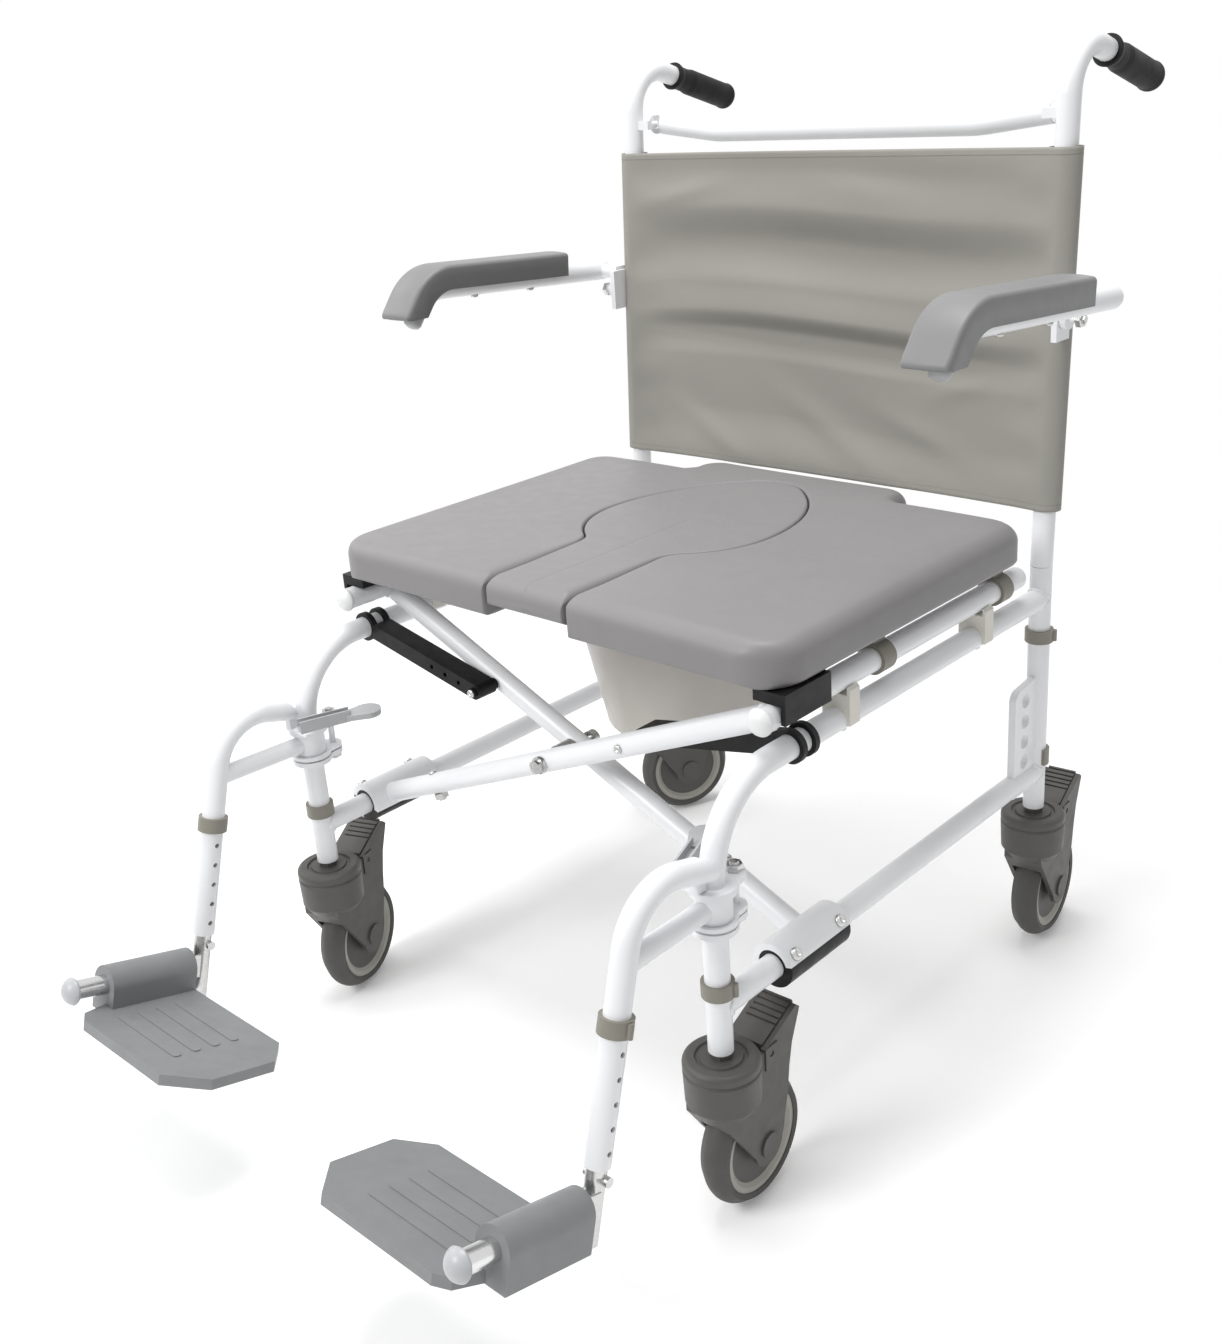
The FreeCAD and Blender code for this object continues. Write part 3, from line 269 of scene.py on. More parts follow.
def slingFinish(look, tall):                     # plain weave on the cloth's own metres, with a coated sheen
    made, pen, shader = newFinish("slingCloth", Sheen_Weight=0.15, Sheen_Roughness=0.4)
    split = pen.node("ShaderNodeSeparateXYZ", {}, {0: surfacePlace(pen)})
    across, upward = split.output(0), split.output(1)
    turns = 2 * math.pi / look["thread"]
    warp = pen.maths("SINE", across * turns)
    weft = pen.maths("SINE", upward * turns)
    weave = warp * weft
    cloud = noise(pen, objectPlace(pen), 14.0, 4.0, 0.55)
    tone = blendColour(pen, cloud, shadeOf(look["colour"], 0.93), shadeOf(look["colour"], 1.06))
    dark = pen.node("ShaderNodeMix", {"data_type": "RGBA", "blend_type": "MULTIPLY"},
                    {"Factor": rangeOf(pen, weave, -1.0, 1.0, 0.16, 0.0), 6: tone, 7: (0.55, 0.55, 0.53, 1.0)}, out=2)
    # seam: a stitched line one hem's width from the top and bottom edges, with gaps along its length
    fromEdge = tall / 2 - pen.maths("ABSOLUTE", upward - tall / 2)
    seam = pen.maths("ABSOLUTE", fromEdge - look["hem"]) < look["seamHalf"]
    stitch = seam * (pen.maths("FRACT", across / look["stitch"]) < 0.7)
    tone = blendColour(pen, seam * 0.18 + stitch * 0.15, dark, shadeOf(look["colour"], 0.45))
    hemStep = rangeOf(pen, fromEdge, look["hem"] - look["hemStep"], look["hem"] + look["hemStep"], 1.0, 0.0)
    creased = bump(pen, hemStep, 0.35, 0.0008, bump(pen, noise(pen, objectPlace(pen), 60.0, 3.0), 0.2, 0.0012))
    feed(shader, Base_Color=tone, Roughness=rangeOf(pen, cloud, 0.3, 0.7, look["roughness"] - 0.05,
                                                    look["roughness"] + 0.07),
         Normal=bump(pen, weave + stitch * 2.0, 0.3, 0.0002, creased))
    return made


foamLook = {"seat": tint(131, 129, 130), "arm": tint(124, 124, 125), "roughness": 0.46}


def foamFinish(name, colour, look):              # integral-skin foam: fine leather-like skin, even grey
    made, pen, shader = newFinish(name, IOR=1.45, Sheen_Weight=0.05)
    place = objectPlace(pen)
    cloud = noise(pen, place, 11.0, 4.0, 0.6)
    skin = pen.node("ShaderNodeTexVoronoi", {"feature": "DISTANCE_TO_EDGE"}, {"Vector": place, "Scale": 520.0})
    feed(shader, Base_Color=blendColour(pen, cloud, shadeOf(colour, 0.95), shadeOf(colour, 1.05)),
         Roughness=rangeOf(pen, noise(pen, place, 55.0, 3.0), 0.3, 0.7, look["roughness"] - 0.05,
                           look["roughness"] + 0.06),
         Normal=bump(pen, skin, 0.12, 0.0003, bump(pen, noise(pen, place, 150.0, 2.0), 0.06, 0.0006)))
    return made


footTubeLook = {"legEnd": (-0.3845, 0.164), "lean": 16.18, "capStart": 0.1419, "cap": tint(178, 180, 182),
                "metal": (0.66, 0.66, 0.66, 1.0)}


def footTubeFinish(look):
    # bright tube whose far end, past capStart along its axis, is a pale cap
    made, pen, shader = newFinish("footTube", IOR=1.46)
    place = pen.node("ShaderNodeSeparateXYZ", {}, {0: objectPlace(pen)})
    lean = math.radians(look["lean"])
    ahead, above = look["legEnd"][0] - place.output(1), place.output(2) - look["legEnd"][1]
    cap = ahead * math.cos(lean) + above * math.sin(lean) > look["capStart"]
    smear = noise(pen, objectPlace(pen), 90.0, 3.0)
    feed(shader, Base_Color=blendColour(pen, cap, look["metal"], look["cap"]), Metallic=1.0 - cap,
         Roughness=cap * 0.12 + rangeOf(pen, smear, 0.3, 0.7, 0.16, 0.26))
    return made


# finish by the ending of a node's name
dressed = {
    "whitePowderCoat": ("side_frame", "back_post", "hanger", "brace_a_frame", "brace_b_frame", "back_crossbar",
                        "armrest_tube", "pan_rails"),
    "platedSteel": ("brace_centre_bolt", "footrest_strut"), "footTube": ("foot_tube",),
    "blackMoulding": ("bushing", "link", "seat_front_blocks"), "gripRubber": ("push_grip",),
    "warmGreyClip": ("frame_clips", "hanger_clips", "seat_clips"), "paleCradle": ("seat_saddles",),
    "whiteCap": ("end_caps",), "leverGrey": ("hanger_lever",), "footplatePlastic": ("footplate",),
    "castorPlastic": ("castor_housing", "brake_pedal"), "tyreRubber": ("tyre",), "panPlastic": ("commode_pan",),
}


def dressFrame():                                # the longest ending that fits a node's name gives its finish
    finishes = {name: mouldedFinish(name, **look) for name, look in plastics.items()}
    finishes.update(whitePowderCoat=powderCoatFinish(whiteCoat), platedSteel=brightFinish(brightSteel),
                    footTube=footTubeFinish(footTubeLook))
    finishOf = {ending: finishes[name] for name, endings in dressed.items() for ending in endings}
    wheelJoints = {joint["child"]: joint for joint in frame["joints"] if joint["name"].endswith("_spin")}
    for name, piece in nodes.items():
        ending = max((end for end in finishOf if name.endswith(end)), key=len, default=None)
        if name.endswith("wheel_hub"):
            joint = wheelJoints[name.replace("_wheel_hub", "_wheel")]
            finish = wheelFinish(name + "Finish", joint["pos_m"], joint["axis"], castorLook)
        elif ending:
            finish = finishOf[ending]
        else:
            continue
        piece.data.materials.clear()
        piece.data.materials.append(finish)
    print("frame dressed")
    return finishes


# mesh helpers
def gridPiece(name, points, look, body, around=False, ends=False, uv=None, smooth=True):
    # a grid of points becomes quads; around joins the last column to the first, ends closes the first and last rows
    rows, columns = points.shape[:2]
    number = np.arange(rows * columns).reshape(rows, columns)
    rings = [number[0, ::-1].tolist(), number[-1].tolist()] if ends else []
    if around:
        number = np.concatenate([number, number[:, :1]], axis=1)
    quads = np.stack([number[:-1, :-1], number[:-1, 1:], number[1:, 1:], number[1:, :-1]], axis=-1).reshape(-1, 4)
    mesh = bpy.data.meshes.new(name)
    mesh.from_pydata(points.reshape(-1, 3).tolist(), [], quads.tolist() + rings)
    if uv is not None:
        layer = mesh.uv_layers.new(name="UVMap")
        layer.data.foreach_set("uv", uv.reshape(-1, 2)[quads.ravel()].astype(np.float32).ravel())
    mesh.polygons.foreach_set("use_smooth", np.full(len(mesh.polygons), smooth))
    mesh.materials.append(look)
    piece = bpy.data.objects.new(name, mesh)
    bpy.context.scene.collection.objects.link(piece)
    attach(piece, body)
    return piece


def faceOut(piece, reach=1e-6):                  # merges doubled points and turns every face outwards
    form = bmesh.new()
    form.from_mesh(piece.data)
    bmesh.ops.remove_doubles(form, verts=form.verts, dist=reach)
    bmesh.ops.recalc_face_normals(form, faces=form.faces)
    form.to_mesh(piece.data)
    form.free()
    return piece


def arcPoints(centre, radius, start, stop, count):    # centre plus radius times (cosine, sine) of even angles
    angle = np.radians(np.linspace(start, stop, count))
    return np.stack([centre[0] + radius * np.cos(angle), centre[1] + radius * np.sin(angle)], axis=-1)


def lengthsOf(points):                           # running length at each point of a broken line
    return np.concatenate([[0], np.cumsum(np.linalg.norm(np.diff(points, axis=0), axis=1))])


def pointsAt(line, places):                      # points of a broken line at given running lengths
    run = lengthsOf(line)
    return np.stack([np.interp(places, run, line[:, axis]) for axis in range(line.shape[1])], axis=-1)


def evenSteps(line, count):                      # the same broken line in even steps
    return pointsAt(line, np.linspace(0, lengthsOf(line)[-1], count))


def arcColumns(centreA, centreB, radius, start, stop, count):    # one arc per row, from columns of centres and radii
    angle = np.radians(np.linspace(start, stop, count))[None, :]
    return np.stack(np.broadcast_arrays(centreA + radius * np.cos(angle), centreB + radius * np.sin(angle)), -1)


def levelColumns(across, height):                # one level or upright run of points per row
    return np.stack(np.broadcast_arrays(across, height), -1)


# seat
frontPost = -0.2225                              # the front posts along Y; lengths below count rearwards from them
halfTrack, wheelBase, tubeRadius = 0.281, 0.555, 0.0115
seatLook = {
    "halfWidth": 0.297, "front": 0.072, "rear": 0.490, "tongue": 0.533, "tongueHalf": 0.140, "tongueStep": 0.012,
    "bottom": 0.4863, "top": 0.5303, "edge": 0.018, "lowEdge": 0.007, "mouthEdge": 0.0032, "neckEdge": 0.0095,
    "frontCorner": 0.046, "rearCorner": 0.022, "crownDrop": 0.0030, "mouthEase": 0.2,
    "neck": 0.055, "oval": 0.110, "widest": 0.315, "tail": 0.485, "tailRadius": 0.055, "flare": 0.030,
    "neckEnd": 0.215, "neckRun": 0.090, "ledge": 0.009, "ledgeStart": 0.190, "ledgeFade": 0.004,
    "plugDepth": 0.032, "plugGap": 0.0018, "plugLift": 0.0003, "plugFoot": 0.016, "plugLowEdge": 0.003,
    "sharp": 0.0004,                             # radius of an edge that isn't rounded
}


def keyholeEdge(look, inset, front, steps):
    # right edge of the keyhole from its mouth: neck, flare arc, front arc of the oval, flank arc, tail arc
    neck, radius, flare = look["neck"] - inset, look["oval"] - inset, look["flare"] + inset
    tail, widest = look["tailRadius"] - inset, look["widest"]
    tailY = look["tail"] - look["tailRadius"]
    flareX = neck + flare
    flareY = widest - math.sqrt((radius + flare) ** 2 - flareX ** 2)
    touch = math.degrees(math.atan2(flareY - widest, flareX))
    run = tailY - widest
    flank = (radius ** 2 + run ** 2 - tail ** 2) / (2 * (radius - tail))
    heading = math.degrees(math.atan2(run, flank - radius))
    return evenSteps(np.concatenate([
        [[neck, front]], arcPoints((flareX, flareY), flare, 180, 180 + touch, 24),
        arcPoints((0, widest), radius, touch, 0, 40), arcPoints((radius - flank, widest), flank, 0, heading, 40),
        arcPoints((0, tailY), tail, heading, 90, 24)]), steps)


def seatEdge(look):
    # right half of the outer edge, from the front corner to the rear middle
    wide, front, rear, back = look["halfWidth"], look["front"], look["rear"], look["tongue"]
    corner, small, tongue, step = look["frontCorner"], look["rearCorner"], look["tongueHalf"], look["tongueStep"]
    return evenSteps(np.concatenate([
        arcPoints((wide - corner, front + corner), corner, -90, 0, 24),
        arcPoints((wide - small, rear - small), small, 0, 90, 14), [[tongue + step, rear], [tongue, rear + step]],
        arcPoints((tongue - small, back - small), small, 0, 90, 12), [[0.0, back]]]), 3000)


def bandSections(width, inset, ease, ledge, low, high, radii, flats):
    # closed section per row: underside, outer wall, top, inner wall and the ledge on its foot; inset lowers the top
    # and lifts the underside by less, and ease times inset draws in the inner wall
    innerTop, outerTop, lowRound = (np.maximum(radius - inset, 0.0004) for radius in radii)
    floor, roof, wall = low + 0.4 * inset, high - inset, ease * inset
    reach, drop = ledge
    share = np.linspace(0, 1, flats)[None, :]
    under = (wall - reach + lowRound) * (1 - share) + (width - lowRound) * share
    over = (width - outerTop) * (1 - share) + (wall + innerTop) * share
    shelf = np.maximum(high - drop, floor + lowRound + 0.001)
    return np.concatenate([
        levelColumns(under, floor), arcColumns(width - lowRound, floor + lowRound, lowRound, -75, 0, 6),
        arcColumns(width - outerTop, roof - outerTop, outerTop, 0, 75, 9), levelColumns(over, roof),
        arcColumns(wall + innerTop, roof - innerTop, innerTop, 105, 180, 7), levelColumns(wall, shelf),
        levelColumns(wall - reach, shelf - 0.0004),
        arcColumns(wall - reach + lowRound, floor + lowRound, lowRound, 180, 255, 6)], axis=1)


def mirrored(rows, across=False):                # the rows, then the same rows backwards on the other side
    return np.concatenate([rows, (rows * [-1, 1] if across else rows)[::-1][1:]])


def bandPiece(name, inner, outer, ledge, low, farEdge, lowEdge, look, finish, body, flats):
    # the section goes from one side of the front mouth, round the rear, to the other side; the front end rounds off,
    # and the edge along the keyhole rolls over more towards the neck
    count, edge, high = 12, look["edge"], look["top"]
    turn = np.radians(np.linspace(90, 0, count, endpoint=False))[:, None]
    back = edge * np.sin(turn) * [0, 1]
    inset = mirrored(np.concatenate([edge * (1 - np.cos(turn)), np.zeros((len(inner), 1))]))
    side = np.concatenate([outer[:1] - back, outer])
    isPlug = outer[0, 0] <= look["neck"]
    if not isPlug:
        side[:count, 0] = cornerX(look, side[:count, 1])
    insideLine, outsideLine = mirrored(np.concatenate([inner[:1] - back, inner]), True), mirrored(side, True)
    span = outsideLine - insideLine
    length = np.linalg.norm(span, axis=1, keepdims=True)
    width = length - look["mouthEase"] * inset if isPlug else length
    ease = 0.0 if isPlug else look["mouthEase"]
    reach = ledge[0] * np.clip((insideLine[:, 1:] - look["ledgeStart"]) / look["ledgeFade"], 0, 1)
    nearNeck = np.clip((look["neckEnd"] - outsideLine[:, 1:]) / look["neckRun"], 0, 1)
    roll = look["mouthEdge"] + (look["neckEdge"] - look["mouthEdge"]) * nearNeck
    radii = (farEdge, roll, lowEdge) if isPlug else (roll, farEdge, lowEdge)
    section = bandSections(width, inset, ease, (reach, ledge[1]), low, high, radii, flats)
    plan = insideLine[:, None, :] + (span / length)[:, None, :] * section[..., :1]
    height = section[..., 1:]
    aloft = (height - low) / (high - low)
    height = height - look["crownDrop"] * aloft * (np.abs(plan[..., :1]) / look["halfWidth"]) ** 4
    points = np.concatenate([plan + [0.0, frontPost], height], -1)
    return faceOut(gridPiece(name, points, finish, body, around=True, ends=True))


def cornerX(look, along):                        # half width of the seat's front corner arc at a place along Y
    corner = look["frontCorner"]
    return look["halfWidth"] - corner + np.sqrt(corner ** 2 - (corner - (along - look["front"])) ** 2)


def buildSeat(look, finish):
    # cushion: keyhole edge to outer edge, straight across ahead of the oval's widest place and along rays behind it
    steps, centre = 220, look["widest"]
    inner = keyholeEdge(look, 0.0, look["front"] + look["edge"], steps)
    outX, outY = seatEdge(look).T
    rear = outY >= centre
    heading = np.arctan2(inner[:, 1] - centre, inner[:, 0])
    outHeading = np.arctan2(outY[rear] - centre, outX[rear])
    byHeading = np.stack([np.interp(heading, outHeading, axis[rear]) for axis in (outX, outY)], -1)
    bySide = np.stack([np.interp(inner[:, 1], outY[~rear], outX[~rear]), inner[:, 1]], -1)
    outer = np.where((heading >= 0)[:, None], byHeading, bySide)
    cushion = bandPiece("seatCushion", inner, outer, (look["ledge"], look["plugDepth"]), look["bottom"], look["edge"],
                        look["lowEdge"], look, finish, "seat", 24)
    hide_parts("seat_cushion")
    # plug: the keyhole's edge, a little smaller, back to a spine that ends at the oval's widest place
    plugEdge = keyholeEdge(look, look["plugGap"], look["front"] + look["edge"], steps)
    spine = np.stack([np.zeros(steps), np.minimum(plugEdge[:, 1], centre)], -1)
    low = look["top"] - look["plugDepth"] + look["plugLift"]
    plug = bandPiece("seatPlug", spine, plugEdge, (0.0, look["plugFoot"]), low, look["sharp"], look["plugLowEdge"],
                     look, finish, "seat_plug", 14)
    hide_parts("seat_plug")
    print("seat and plug built")


# armrest pads
armLook = {
    "x": 0.339, "rear": 0.486, "tubeRear": 0.566, "corner": 0.279, "height": 0.741, "rise": 0.018, "droop": 52.0,
    "nose": 0.057, "level": 0.7332, "noseRound": 0.009, "bend": 0.040, "halfWidth": 0.024, "low": 0.0008,
    "high": 0.029, "crown": 0.0012, "edge": 0.0048, "tubeRoom": 0.0117, "endRound": 0.004, "rows": 80,
}


def armLine(look):
    # the arm's axis as (along, height): straight, round bend, straight nose
    corner = np.array([look["corner"], look["height"] + look["rise"]])
    rear = np.array([look["rear"], 0.0])
    rear[1] = corner[1] - look["rise"] * (look["rear"] - look["corner"]) / (look["tubeRear"] - look["corner"])
    droop = math.radians(look["droop"])
    inward = (rear - corner) / np.linalg.norm(rear - corner)
    outward = np.array([-math.cos(droop), -math.sin(droop)])
    halfAngle = math.acos(inward @ outward) / 2
    reach = look["bend"] / math.tan(halfAngle)
    middle = (inward + outward) / np.linalg.norm(inward + outward)
    centre = corner + middle * look["bend"] / math.sin(halfAngle)
    first, last = (corner + way * reach - centre for way in (inward, outward))
    turn = arcPoints(centre, look["bend"], math.degrees(math.atan2(first[1], first[0])),
                     math.degrees(math.atan2(last[1], last[0])), 24)
    return np.concatenate([[rear], turn, [corner + outward * look["nose"]]])


def padSection(look, inset):
    # per row: rounded shoulders and crowned top, drawn in by inset, over a flat foot with a groove for the tube
    half, low, high = look["halfWidth"] - inset, look["low"], look["high"] - inset
    edge = np.maximum(look["edge"] - inset, 0.001)
    shoulder = high - look["crown"] - edge
    share = np.linspace(1, -1, 15)[None, :]
    foot = np.linspace(0, 1, 4)[None, :]
    room = look["tubeRoom"]
    return np.concatenate([
        arcColumns(half - edge, shoulder, edge, 0, 80, 8),
        levelColumns((half - edge) * share, high - look["crown"] * share ** 2),
        arcColumns(edge - half, shoulder, edge, 100, 180, 8),
        levelColumns(-half * (1 - foot) - room * foot, low), arcColumns(0 * half, low, room, 170, 10, 15),
        levelColumns(room * (1 - foot) + half * foot, low)], axis=1)


def buildArmPads(look, finish):
    # the section follows the arm's axis, square to it, and draws in by a quarter circle at both ends
    line, soft, rows = armLine(look), look["endRound"], look["rows"]
    total = lengthsOf(line)[-1]
    turn = np.radians(np.linspace(90, 0, 7, endpoint=False))
    ease, drawn = soft * (1 - np.sin(turn)), soft * (1 - np.cos(turn))
    run = np.concatenate([ease, np.linspace(soft, total - soft, rows), total - ease[::-1]])
    inset = np.concatenate([drawn, np.zeros(rows), drawn[::-1]])[:, None]
    spots = pointsAt(line, run)
    ahead = pointsAt(line, run + 0.002) - pointsAt(line, run - 0.002)
    ahead /= np.linalg.norm(ahead, axis=1, keepdims=True)
    upward = np.stack([ahead[:, 1], -ahead[:, 0]], -1)
    section = padSection(look, inset)
    upright = spots[:, None, :] + upward[:, None, :] * section[..., 1:]
    # what hangs below the level underside of the nose slides back up along the droop until it is level
    under = np.maximum(look["level"] - upright[..., 1:], 0.0)
    upright = upright + under * [1 / math.tan(math.radians(look["droop"])), 1.0]
    # the front of the nose rounds back into the underside by a quarter circle of noseRound
    radius = look["noseRound"]
    lift = np.clip((upright[..., 1:] - look["level"]) / radius, 0, 1)
    outerShare = np.clip(2 * section[..., 1:] / look["high"] - 1, 0, 1)
    upright = upright + radius * (1 - np.sqrt(1 - (1 - lift) ** 2)) * outerShare * [1.0, 0.0]
    for name, side in (("left", 1), ("right", -1)):
        across = side * look["x"] + section[..., :1]
        points = np.concatenate([across, upright[..., :1] + frontPost, upright[..., 1:]], -1)
        pad = faceOut(gridPiece(name + "ArmPad", points, finish, name + "_armrest", around=True, ends=True))
        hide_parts(name + "_armrest_pad")
    print("armrest pads built")


# cloth back
clothBack = {
    "postFoot": (0.555, 0.461), "postHead": (0.583, 0.986), "bottom": 0.522, "top": 0.881, "thickness": 0.0016,
    "wrap": 0.0131, "wrapWide": 0.0162, "wrapTurn": (200, -90, 40), "sag": 0.026, "rows": 130, "across": 170,
    "foldKeep": 0.83,
    # share of the height and of the sag
    "waves": ((0.0, 0.30), (0.16, 0.72), (0.33, 0.70), (0.415, 1.20), (0.485, 0.40), (0.57, 0.52), (0.70, 1.20),
              (0.82, 0.34), (0.92, 0.46), (1.0, 0.3)),
    # middle across and up, slope, length, width, depth
    "folds": ((-0.16, 0.036, -27, 0.075, 0.014, 0.0035), (0.012, 0.050, -28, 0.085, 0.016, 0.0040),
              (0.130, 0.060, -20, 0.060, 0.014, 0.0030), (-0.21, 0.311, 12, 0.060, 0.011, 0.0028),
              (0.05, 0.318, -8, 0.070, 0.014, 0.0022), (0.19, 0.120, 20, 0.050, 0.012, 0.0025),
              (-0.17, 0.147, -4, 0.100, 0.0065, 0.0024)),
    "tilt": 0.02, "ripple": 0.0016, "pull": 0.0022, "pullReach": 0.14,
}


def easedThrough(places, keys):                  # smooth steps from each (place, value) key to the next
    spots, values = np.array(keys).T
    index = np.clip(np.searchsorted(spots, places) - 1, 0, len(spots) - 2)
    share = np.clip((places - spots[index]) / (spots[index + 1] - spots[index]), 0, 1)
    share = share * share * (3 - 2 * share)
    return values[index] * (1 - share) + values[index + 1] * share


def softFold(across, upward, fold):             # depth times two bell curves, one along the fold and one across it
    middleX, middleZ, slope, length, width, depth = fold
    angle = math.radians(slope)
    alongFold = (across - middleX) * math.cos(angle) + (upward - middleZ) * math.sin(angle)
    acrossFold = (upward - middleZ) * math.cos(angle) - (across - middleX) * math.sin(angle)
    return depth * np.exp(-(acrossFold / width) ** 2 - (alongFold / length) ** 2)


def buildClothBack(look, finish):
    # plan line round the left post, across the front with a sag, round the right post; the sag waves with height
    share = np.linspace(0, 1, look["rows"])[:, None]
    height = look["bottom"] + (look["top"] - look["bottom"]) * share
    lean = (look["postHead"][0] - look["postFoot"][0]) / (look["postHead"][1] - look["postFoot"][1])
    post = look["postFoot"][0] + (height - look["postFoot"][1]) * lean
    wrap, half = look["wrap"], halfTrack
    turn = np.radians(np.linspace(*look["wrapTurn"]))[None, :]
    aroundX, aroundY = half + look["wrapWide"] * np.cos(turn), wrap * np.sin(turn)
    across = np.linspace(1, -1, look["across"])[None, 1:-1]
    tilted = share + look["tilt"] * np.sin(across * 2.4 - 0.4)
    depth = easedThrough(tilted.ravel(), look["waves"]).reshape(tilted.shape) * look["sag"]
    ripple = look["ripple"] * np.sin(across * 7.0 + share * 11.0) * np.sin(np.pi * share)
    nearPost = np.exp(-((1 - np.abs(across)) / look["pullReach"]) ** 2)
    pull = look["pull"] * nearPost * np.sin(share * 44.0 + 2.0 * across)
    folds = sum(softFold(half * across, height - look["bottom"], fold) for fold in look["folds"])
    frontY = -wrap + (1 - 0.5 * across ** 2 - 0.5 * across ** 6) * depth + (ripple + pull - folds) * (1 - across ** 8)
    x = np.concatenate([aroundX, half * across, -aroundX[:, ::-1]], 1) + 0 * height
    y = np.concatenate([aroundY + 0 * height, frontY, aroundY[:, ::-1] + 0 * height], 1) + post + frontPost
    run = lengthsOf(np.stack([x[0], y[0]], -1))
    uv = np.stack(np.broadcast_arrays(run[None, :], height - look["bottom"]), -1)
    cloth = gridPiece("backCloth", np.stack([x, y, height + 0 * x], -1), finish, "left_frame", uv=uv)
    cloth.modifiers.new("thickness", "SOLIDIFY").thickness = look["thickness"]
    cloth.modifiers["thickness"].offset = 0.0
    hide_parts("back_sling")
    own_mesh(cloth)
    print("cloth back built")


# fasteners and welds
fastenerLook = {
    # turned profiles as (radius, height)
    "panHead": ((0.0, 0.0), (0.0046, 0.0), (0.0046, 0.0011), (0.0041, 0.0021), (0.0030, 0.0027), (0.0021, 0.0028),
                (0.0017, 0.0013), (0.0, 0.0012)),
    "nut": ((0.0, 0.0), (0.0084, 0.0), (0.0084, 0.0052), (0.0075, 0.0062), (0.0046, 0.0062), (0.0042, 0.0082),
            (0.0, 0.0084)),
    "armCap": ((0.0, 0.0), (0.0105, 0.0), (0.0105, 0.0100), (0.0088, 0.0133), (0.0045, 0.0153), (0.0, 0.0156)),
    "armCapStart": 0.0315, "armNutX": 0.3126, "armPin": (0.552, 0.721), "armScrews": ((0.350, 0.7545), (0.440, 0.7489)),
    "lowerTube": 0.222, "upperTube": 0.425, "seatTube": 0.463, "weldFit": 0.98, "sink": 0.0002,
    "member": {"a": 0.132, "b": 0.088}, "saddle": {"a": 0.122, "b": 0.106}, "saddleWay": (0.80, 0.60),
    "saddleRadius": 0.0219, "saddleSpread": 0.034, "saddleScrew": 1.35,
    "braceMiddle": 0.3425, "braceFall": (0.562, 0.241), "throughBolt": 0.183, "frontBolt": 0.108,
    "linkBolt": (0.108, 0.3888), "linkFace": {"left": 0.1374, "right": 0.0876},
    "flangeBolt": 0.029, "flangeTop": 0.3430, "flangeFoot": 0.3000, "cradleScrews": (0.188, 0.422),
}


def axesFor(direction):                          # two unit vectors square to a direction and to each other
    way = np.array(direction, float) / np.linalg.norm(direction)
    first = np.cross(way, [0.0, 0.0, 1.0] if abs(way[2]) < 0.9 else [1.0, 0.0, 0.0])
    first /= np.linalg.norm(first)
    return first, np.cross(way, first), way


def turnedPiece(name, profile, place, direction, look, body, columns=20):
    # each profile point (radius, height) goes round the direction through its place
    first, second, way = axesFor(direction)
    radius, height = np.array(profile).T
    angle = np.linspace(0, 2 * math.pi, columns, endpoint=False)[None, :, None]
    ring = np.cos(angle) * first + np.sin(angle) * second
    points = np.array(place) + radius[:, None, None] * ring + height[:, None, None] * way
    return faceOut(gridPiece(name, points, look, body, around=True, smooth=columns > 6))


def weldBead(name, place, along, post, postRadius, radius, look, body, size=0.0021):
    # the line where a tube (its radius, its direction along) meets a post, swept by a small rippled circle
    along, post = (np.array(way, float) / np.linalg.norm(way) for way in (along, post))
    side = np.cross(along, post)
    turn = np.linspace(0, 2 * math.pi, 96, endpoint=False)[:, None]
    reach = np.sqrt(np.maximum(postRadius ** 2 - (radius * np.cos(turn)) ** 2, (0.25 * postRadius) ** 2))
    line = np.array(place) + side * radius * np.cos(turn) + post * radius * np.sin(turn) + along * reach
    ahead = np.roll(line, -1, 0) - np.roll(line, 1, 0)
    ahead /= np.linalg.norm(ahead, axis=1, keepdims=True)
    outward = line - line.mean(0)
    outward -= ahead * (outward * ahead).sum(1, keepdims=True)
    outward /= np.linalg.norm(outward, axis=1, keepdims=True)
    across = np.cross(ahead, outward)
    angle = np.linspace(0, 2 * math.pi, 10, endpoint=False)[None, :, None]
    thick = size * (1 + 0.10 * np.sin(turn * 24))[:, :, None]
    points = line[:, None, :] + thick * (np.cos(angle) * outward[:, None, :] + np.sin(angle) * across[:, None, :])
    loop = np.concatenate([points, points[:1]])
    return faceOut(gridPiece(name, loop, look, body, around=True))


def inFrame(x, along, height):                   # a place whose length is counted from the front posts
    return np.array([x, along + frontPost, height])


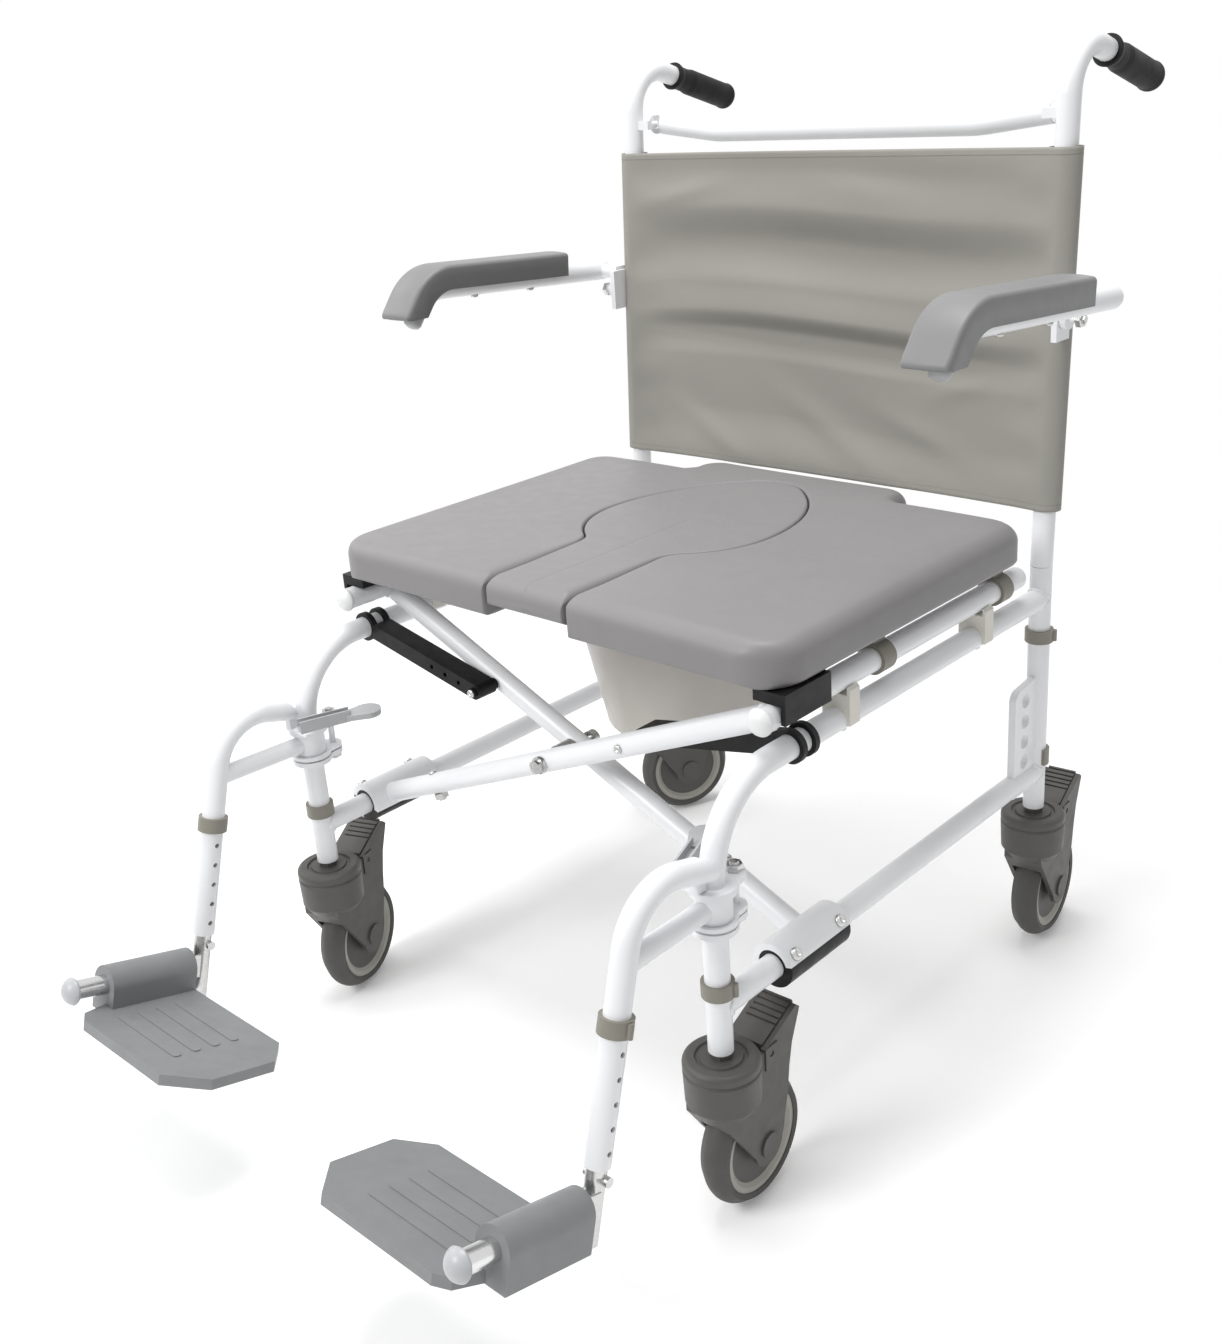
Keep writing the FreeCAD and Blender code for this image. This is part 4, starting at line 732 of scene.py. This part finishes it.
def buildFasteners(look, arm, finishes):
    # welds, then screws and nuts from the brace up; the right side mirrors the left
    steel, white = finishes["platedSteel"], finishes["whitePowderCoat"]
    fit = tubeRadius * look["weldFit"]
    run, rise = look["braceFall"]
    droop = math.radians(arm["droop"])
    noseWay = np.array([0.0, -math.cos(droop), -math.sin(droop)])
    bigHead = np.array(look["panHead"]) * look["saddleScrew"]
    for side, sign in (("left", 1), ("right", -1)):
        x, body, armBody = sign * halfTrack, side + "_frame", side + "_armrest"
        foot, other = ("a", "b") if sign > 0 else ("b", "a")     # the brace member with its foot here, and the other
        for label, along, tube, way in (("Front", 0.0, "lowerTube", 1), ("Rear", wheelBase, "lowerTube", -1),
                                        ("Upper", wheelBase, "upperTube", -1)):
            weldBead(f"{side}{label}Weld", inFrame(x, along, look[tube]), (0, way, 0), (0, 0, 1), tubeRadius, fit,
                     white, body)
        weldBead(f"{side}BraceWeld", inFrame(x, look["member"][other], look["seatTube"]), (-sign * run, 0, -rise),
                 (0, 1, 0), tubeRadius, fit, white, "brace_" + other)
        out = np.array([sign * look["saddleWay"][0], 0.0, look["saddleWay"][1]])
        for index, shift in enumerate((-look["saddleSpread"], look["saddleSpread"])):
            place = inFrame(x, look["saddle"][foot] + shift, look["lowerTube"]) + out * look["saddleRadius"]
            turnedPiece(f"{side}SaddleScrew{index}", bigHead, place, out, steel, "brace_" + foot)
        # one bolt through the member, with its nut, and one on its front
        along = look["member"][foot]
        square = np.array([sign * rise, 0.0, run]) / math.hypot(run, rise)
        centre = inFrame(sign * look["throughBolt"], along, look["braceMiddle"] - look["throughBolt"] * rise / run)
        for label, way, profile, columns in (("Head", 1, look["panHead"], 20), ("Nut", -1, look["nut"], 6)):
            turnedPiece(f"{side}Brace{label}", profile, centre + way * square * tubeRadius, way * square, steel,
                        "brace_" + foot, columns)
        height = look["braceMiddle"] + look["frontBolt"] * rise / run
        place = inFrame(-sign * look["frontBolt"], along - tubeRadius, height)
        turnedPiece(side + "BraceFrontBolt", look["panHead"], place, (0, -1, 0), steel, "brace_" + foot)
        linkX, linkHeight = look["linkBolt"]
        turnedPiece(side + "LinkBolt", look["panHead"], inFrame(sign * linkX, look["linkFace"][side], linkHeight),
                    (0, sign, 0), steel, side + "_link")
        turnedPiece(side + "ArmNut", look["nut"], inFrame(sign * look["armNutX"], *look["armPin"]), (sign, 0, 0), steel,
                    body, 6)
        for index, (height, way) in enumerate(((look["flangeTop"], 1), (look["flangeFoot"], -1))):
            turnedPiece(f"{side}FlangeNut{index}", look["nut"], inFrame(x, look["flangeBolt"], height), (0, 0, way),
                        steel, body, 6)
        corner = inFrame(sign * arm["x"], arm["corner"], arm["height"] + arm["rise"])
        turnedPiece(side + "ArmCap", look["armCap"], corner + look["armCapStart"] * noseWay, noseWay,
                    finishes["leverGrey"], armBody)
        under = tubeRadius - look["sink"]
        for index, (along, height) in enumerate(look["armScrews"]):
            turnedPiece(f"{side}ArmScrew{index}", look["panHead"], inFrame(sign * arm["x"], along, height - under),
                        (0, 0, -1), steel, armBody)
        for index, along in enumerate(look["cradleScrews"]):
            turnedPiece(f"{side}CradleScrew{index}", look["panHead"], inFrame(x, along, look["upperTube"] - under),
                        (0, 0, -1), steel, body)
    print("fasteners and welds built")


# floor, backdrop and lamps
studio = {"floorSize": 9.0, "floorColour": tint(252, 252, 252), "floorGlow": 0.12, "fadeFrom": 0.9, "fadeTo": 1.9,
          "worldLevel": 0.45, "aim": (0.0, 0.0, 0.5),
          # name, place, width, power
          "lamps": (("keyLamp", (-0.6, -2.7, 2.5), 1.6, 62.0), ("sideLamp", (-2.6, -0.6, 2.2), 2.0, 18.0),
                    ("topLamp", (0.0, 0.2, 3.2), 2.0, 60.0))}


def floorFinish(look):                           # pale floor that fades to clear with distance from the middle
    made, pen, shader = newFinish("floorFinish", Base_Color=look["floorColour"], Roughness=0.9,
                                  Emission_Color=(1.0, 1.0, 1.0, 1.0), Emission_Strength=look["floorGlow"])
    far = pen.node("ShaderNodeVectorMath", {"operation": "LENGTH"}, {0: objectPlace(pen)}, out="Value")
    clear = pen.node("ShaderNodeMapRange", {"interpolation_type": "SMOOTHSTEP"},
                     {"Value": far, "From Min": look["fadeFrom"], "From Max": look["fadeTo"]})
    mix = pen.tree.nodes.new("ShaderNodeMixShader")
    pen.tree.links.new(clear.socket, mix.inputs[0])
    pen.tree.links.new(shader.outputs[0], mix.inputs[1])
    pen.tree.links.new(pen.node("ShaderNodeBsdfTransparent").socket, mix.inputs[2])
    output = next(node for node in pen.tree.nodes if node.type == "OUTPUT_MATERIAL")
    pen.tree.links.new(mix.outputs[0], output.inputs[0])
    return made


def buildStudio(look):                           # the world is white where it is seen, and dimmer as a light
    half = look["floorSize"] / 2
    mesh = bpy.data.meshes.new("floor")
    mesh.from_pydata([(-half, -half, 0), (half, -half, 0), (half, half, 0), (-half, half, 0)], [], [(0, 1, 2, 3)])
    mesh.materials.append(floorFinish(look))
    floor = bpy.data.objects.new("floor", mesh)
    bpy.context.scene.collection.objects.link(floor)
    world = bpy.data.worlds.new("studioWorld")
    bpy.context.scene.world = world
    world.use_nodes = True
    tree = world.node_tree
    tree.nodes.clear()
    pen = Wire(tree)
    path = pen.node("ShaderNodeLightPath")
    seen = path.output("Is Camera Ray") + path.output("Is Glossy Ray") + path.output("Is Transmission Ray")
    seen = pen.maths("MINIMUM", seen, 1.0)
    level = seen + (1.0 - seen) * look["worldLevel"]
    sky = pen.node("ShaderNodeBackground", {}, {"Color": (1.0, 1.0, 1.0, 1.0), "Strength": level})
    tree.links.new(sky.socket, tree.nodes.new("ShaderNodeOutputWorld").inputs[0])
    for name, place, width, power in look["lamps"]:
        lamp = bpy.data.lights.new(name, "AREA")
        lamp.shape, lamp.size, lamp.energy = "DISK", width, power
        holder = bpy.data.objects.new(name, lamp)
        holder.location = place
        holder.rotation_euler = (Vector(look["aim"]) - Vector(place)).to_track_quat("-Z", "Y").to_euler()
        bpy.context.scene.collection.objects.link(holder)
    bpy.context.scene.view_settings.view_transform = "Standard"
    print("studio ready")


addCamera(photoView)
finishes = dressFrame()
buildSeat(seatLook, foamFinish("seatFoam", foamLook["seat"], foamLook))
buildArmPads(armLook, foamFinish("armFoam", foamLook["arm"], foamLook))
buildClothBack(clothBack, slingFinish(clothLook, clothBack["top"] - clothBack["bottom"]))
buildFasteners(fastenerLook, armLook, finishes)
buildStudio(studio)
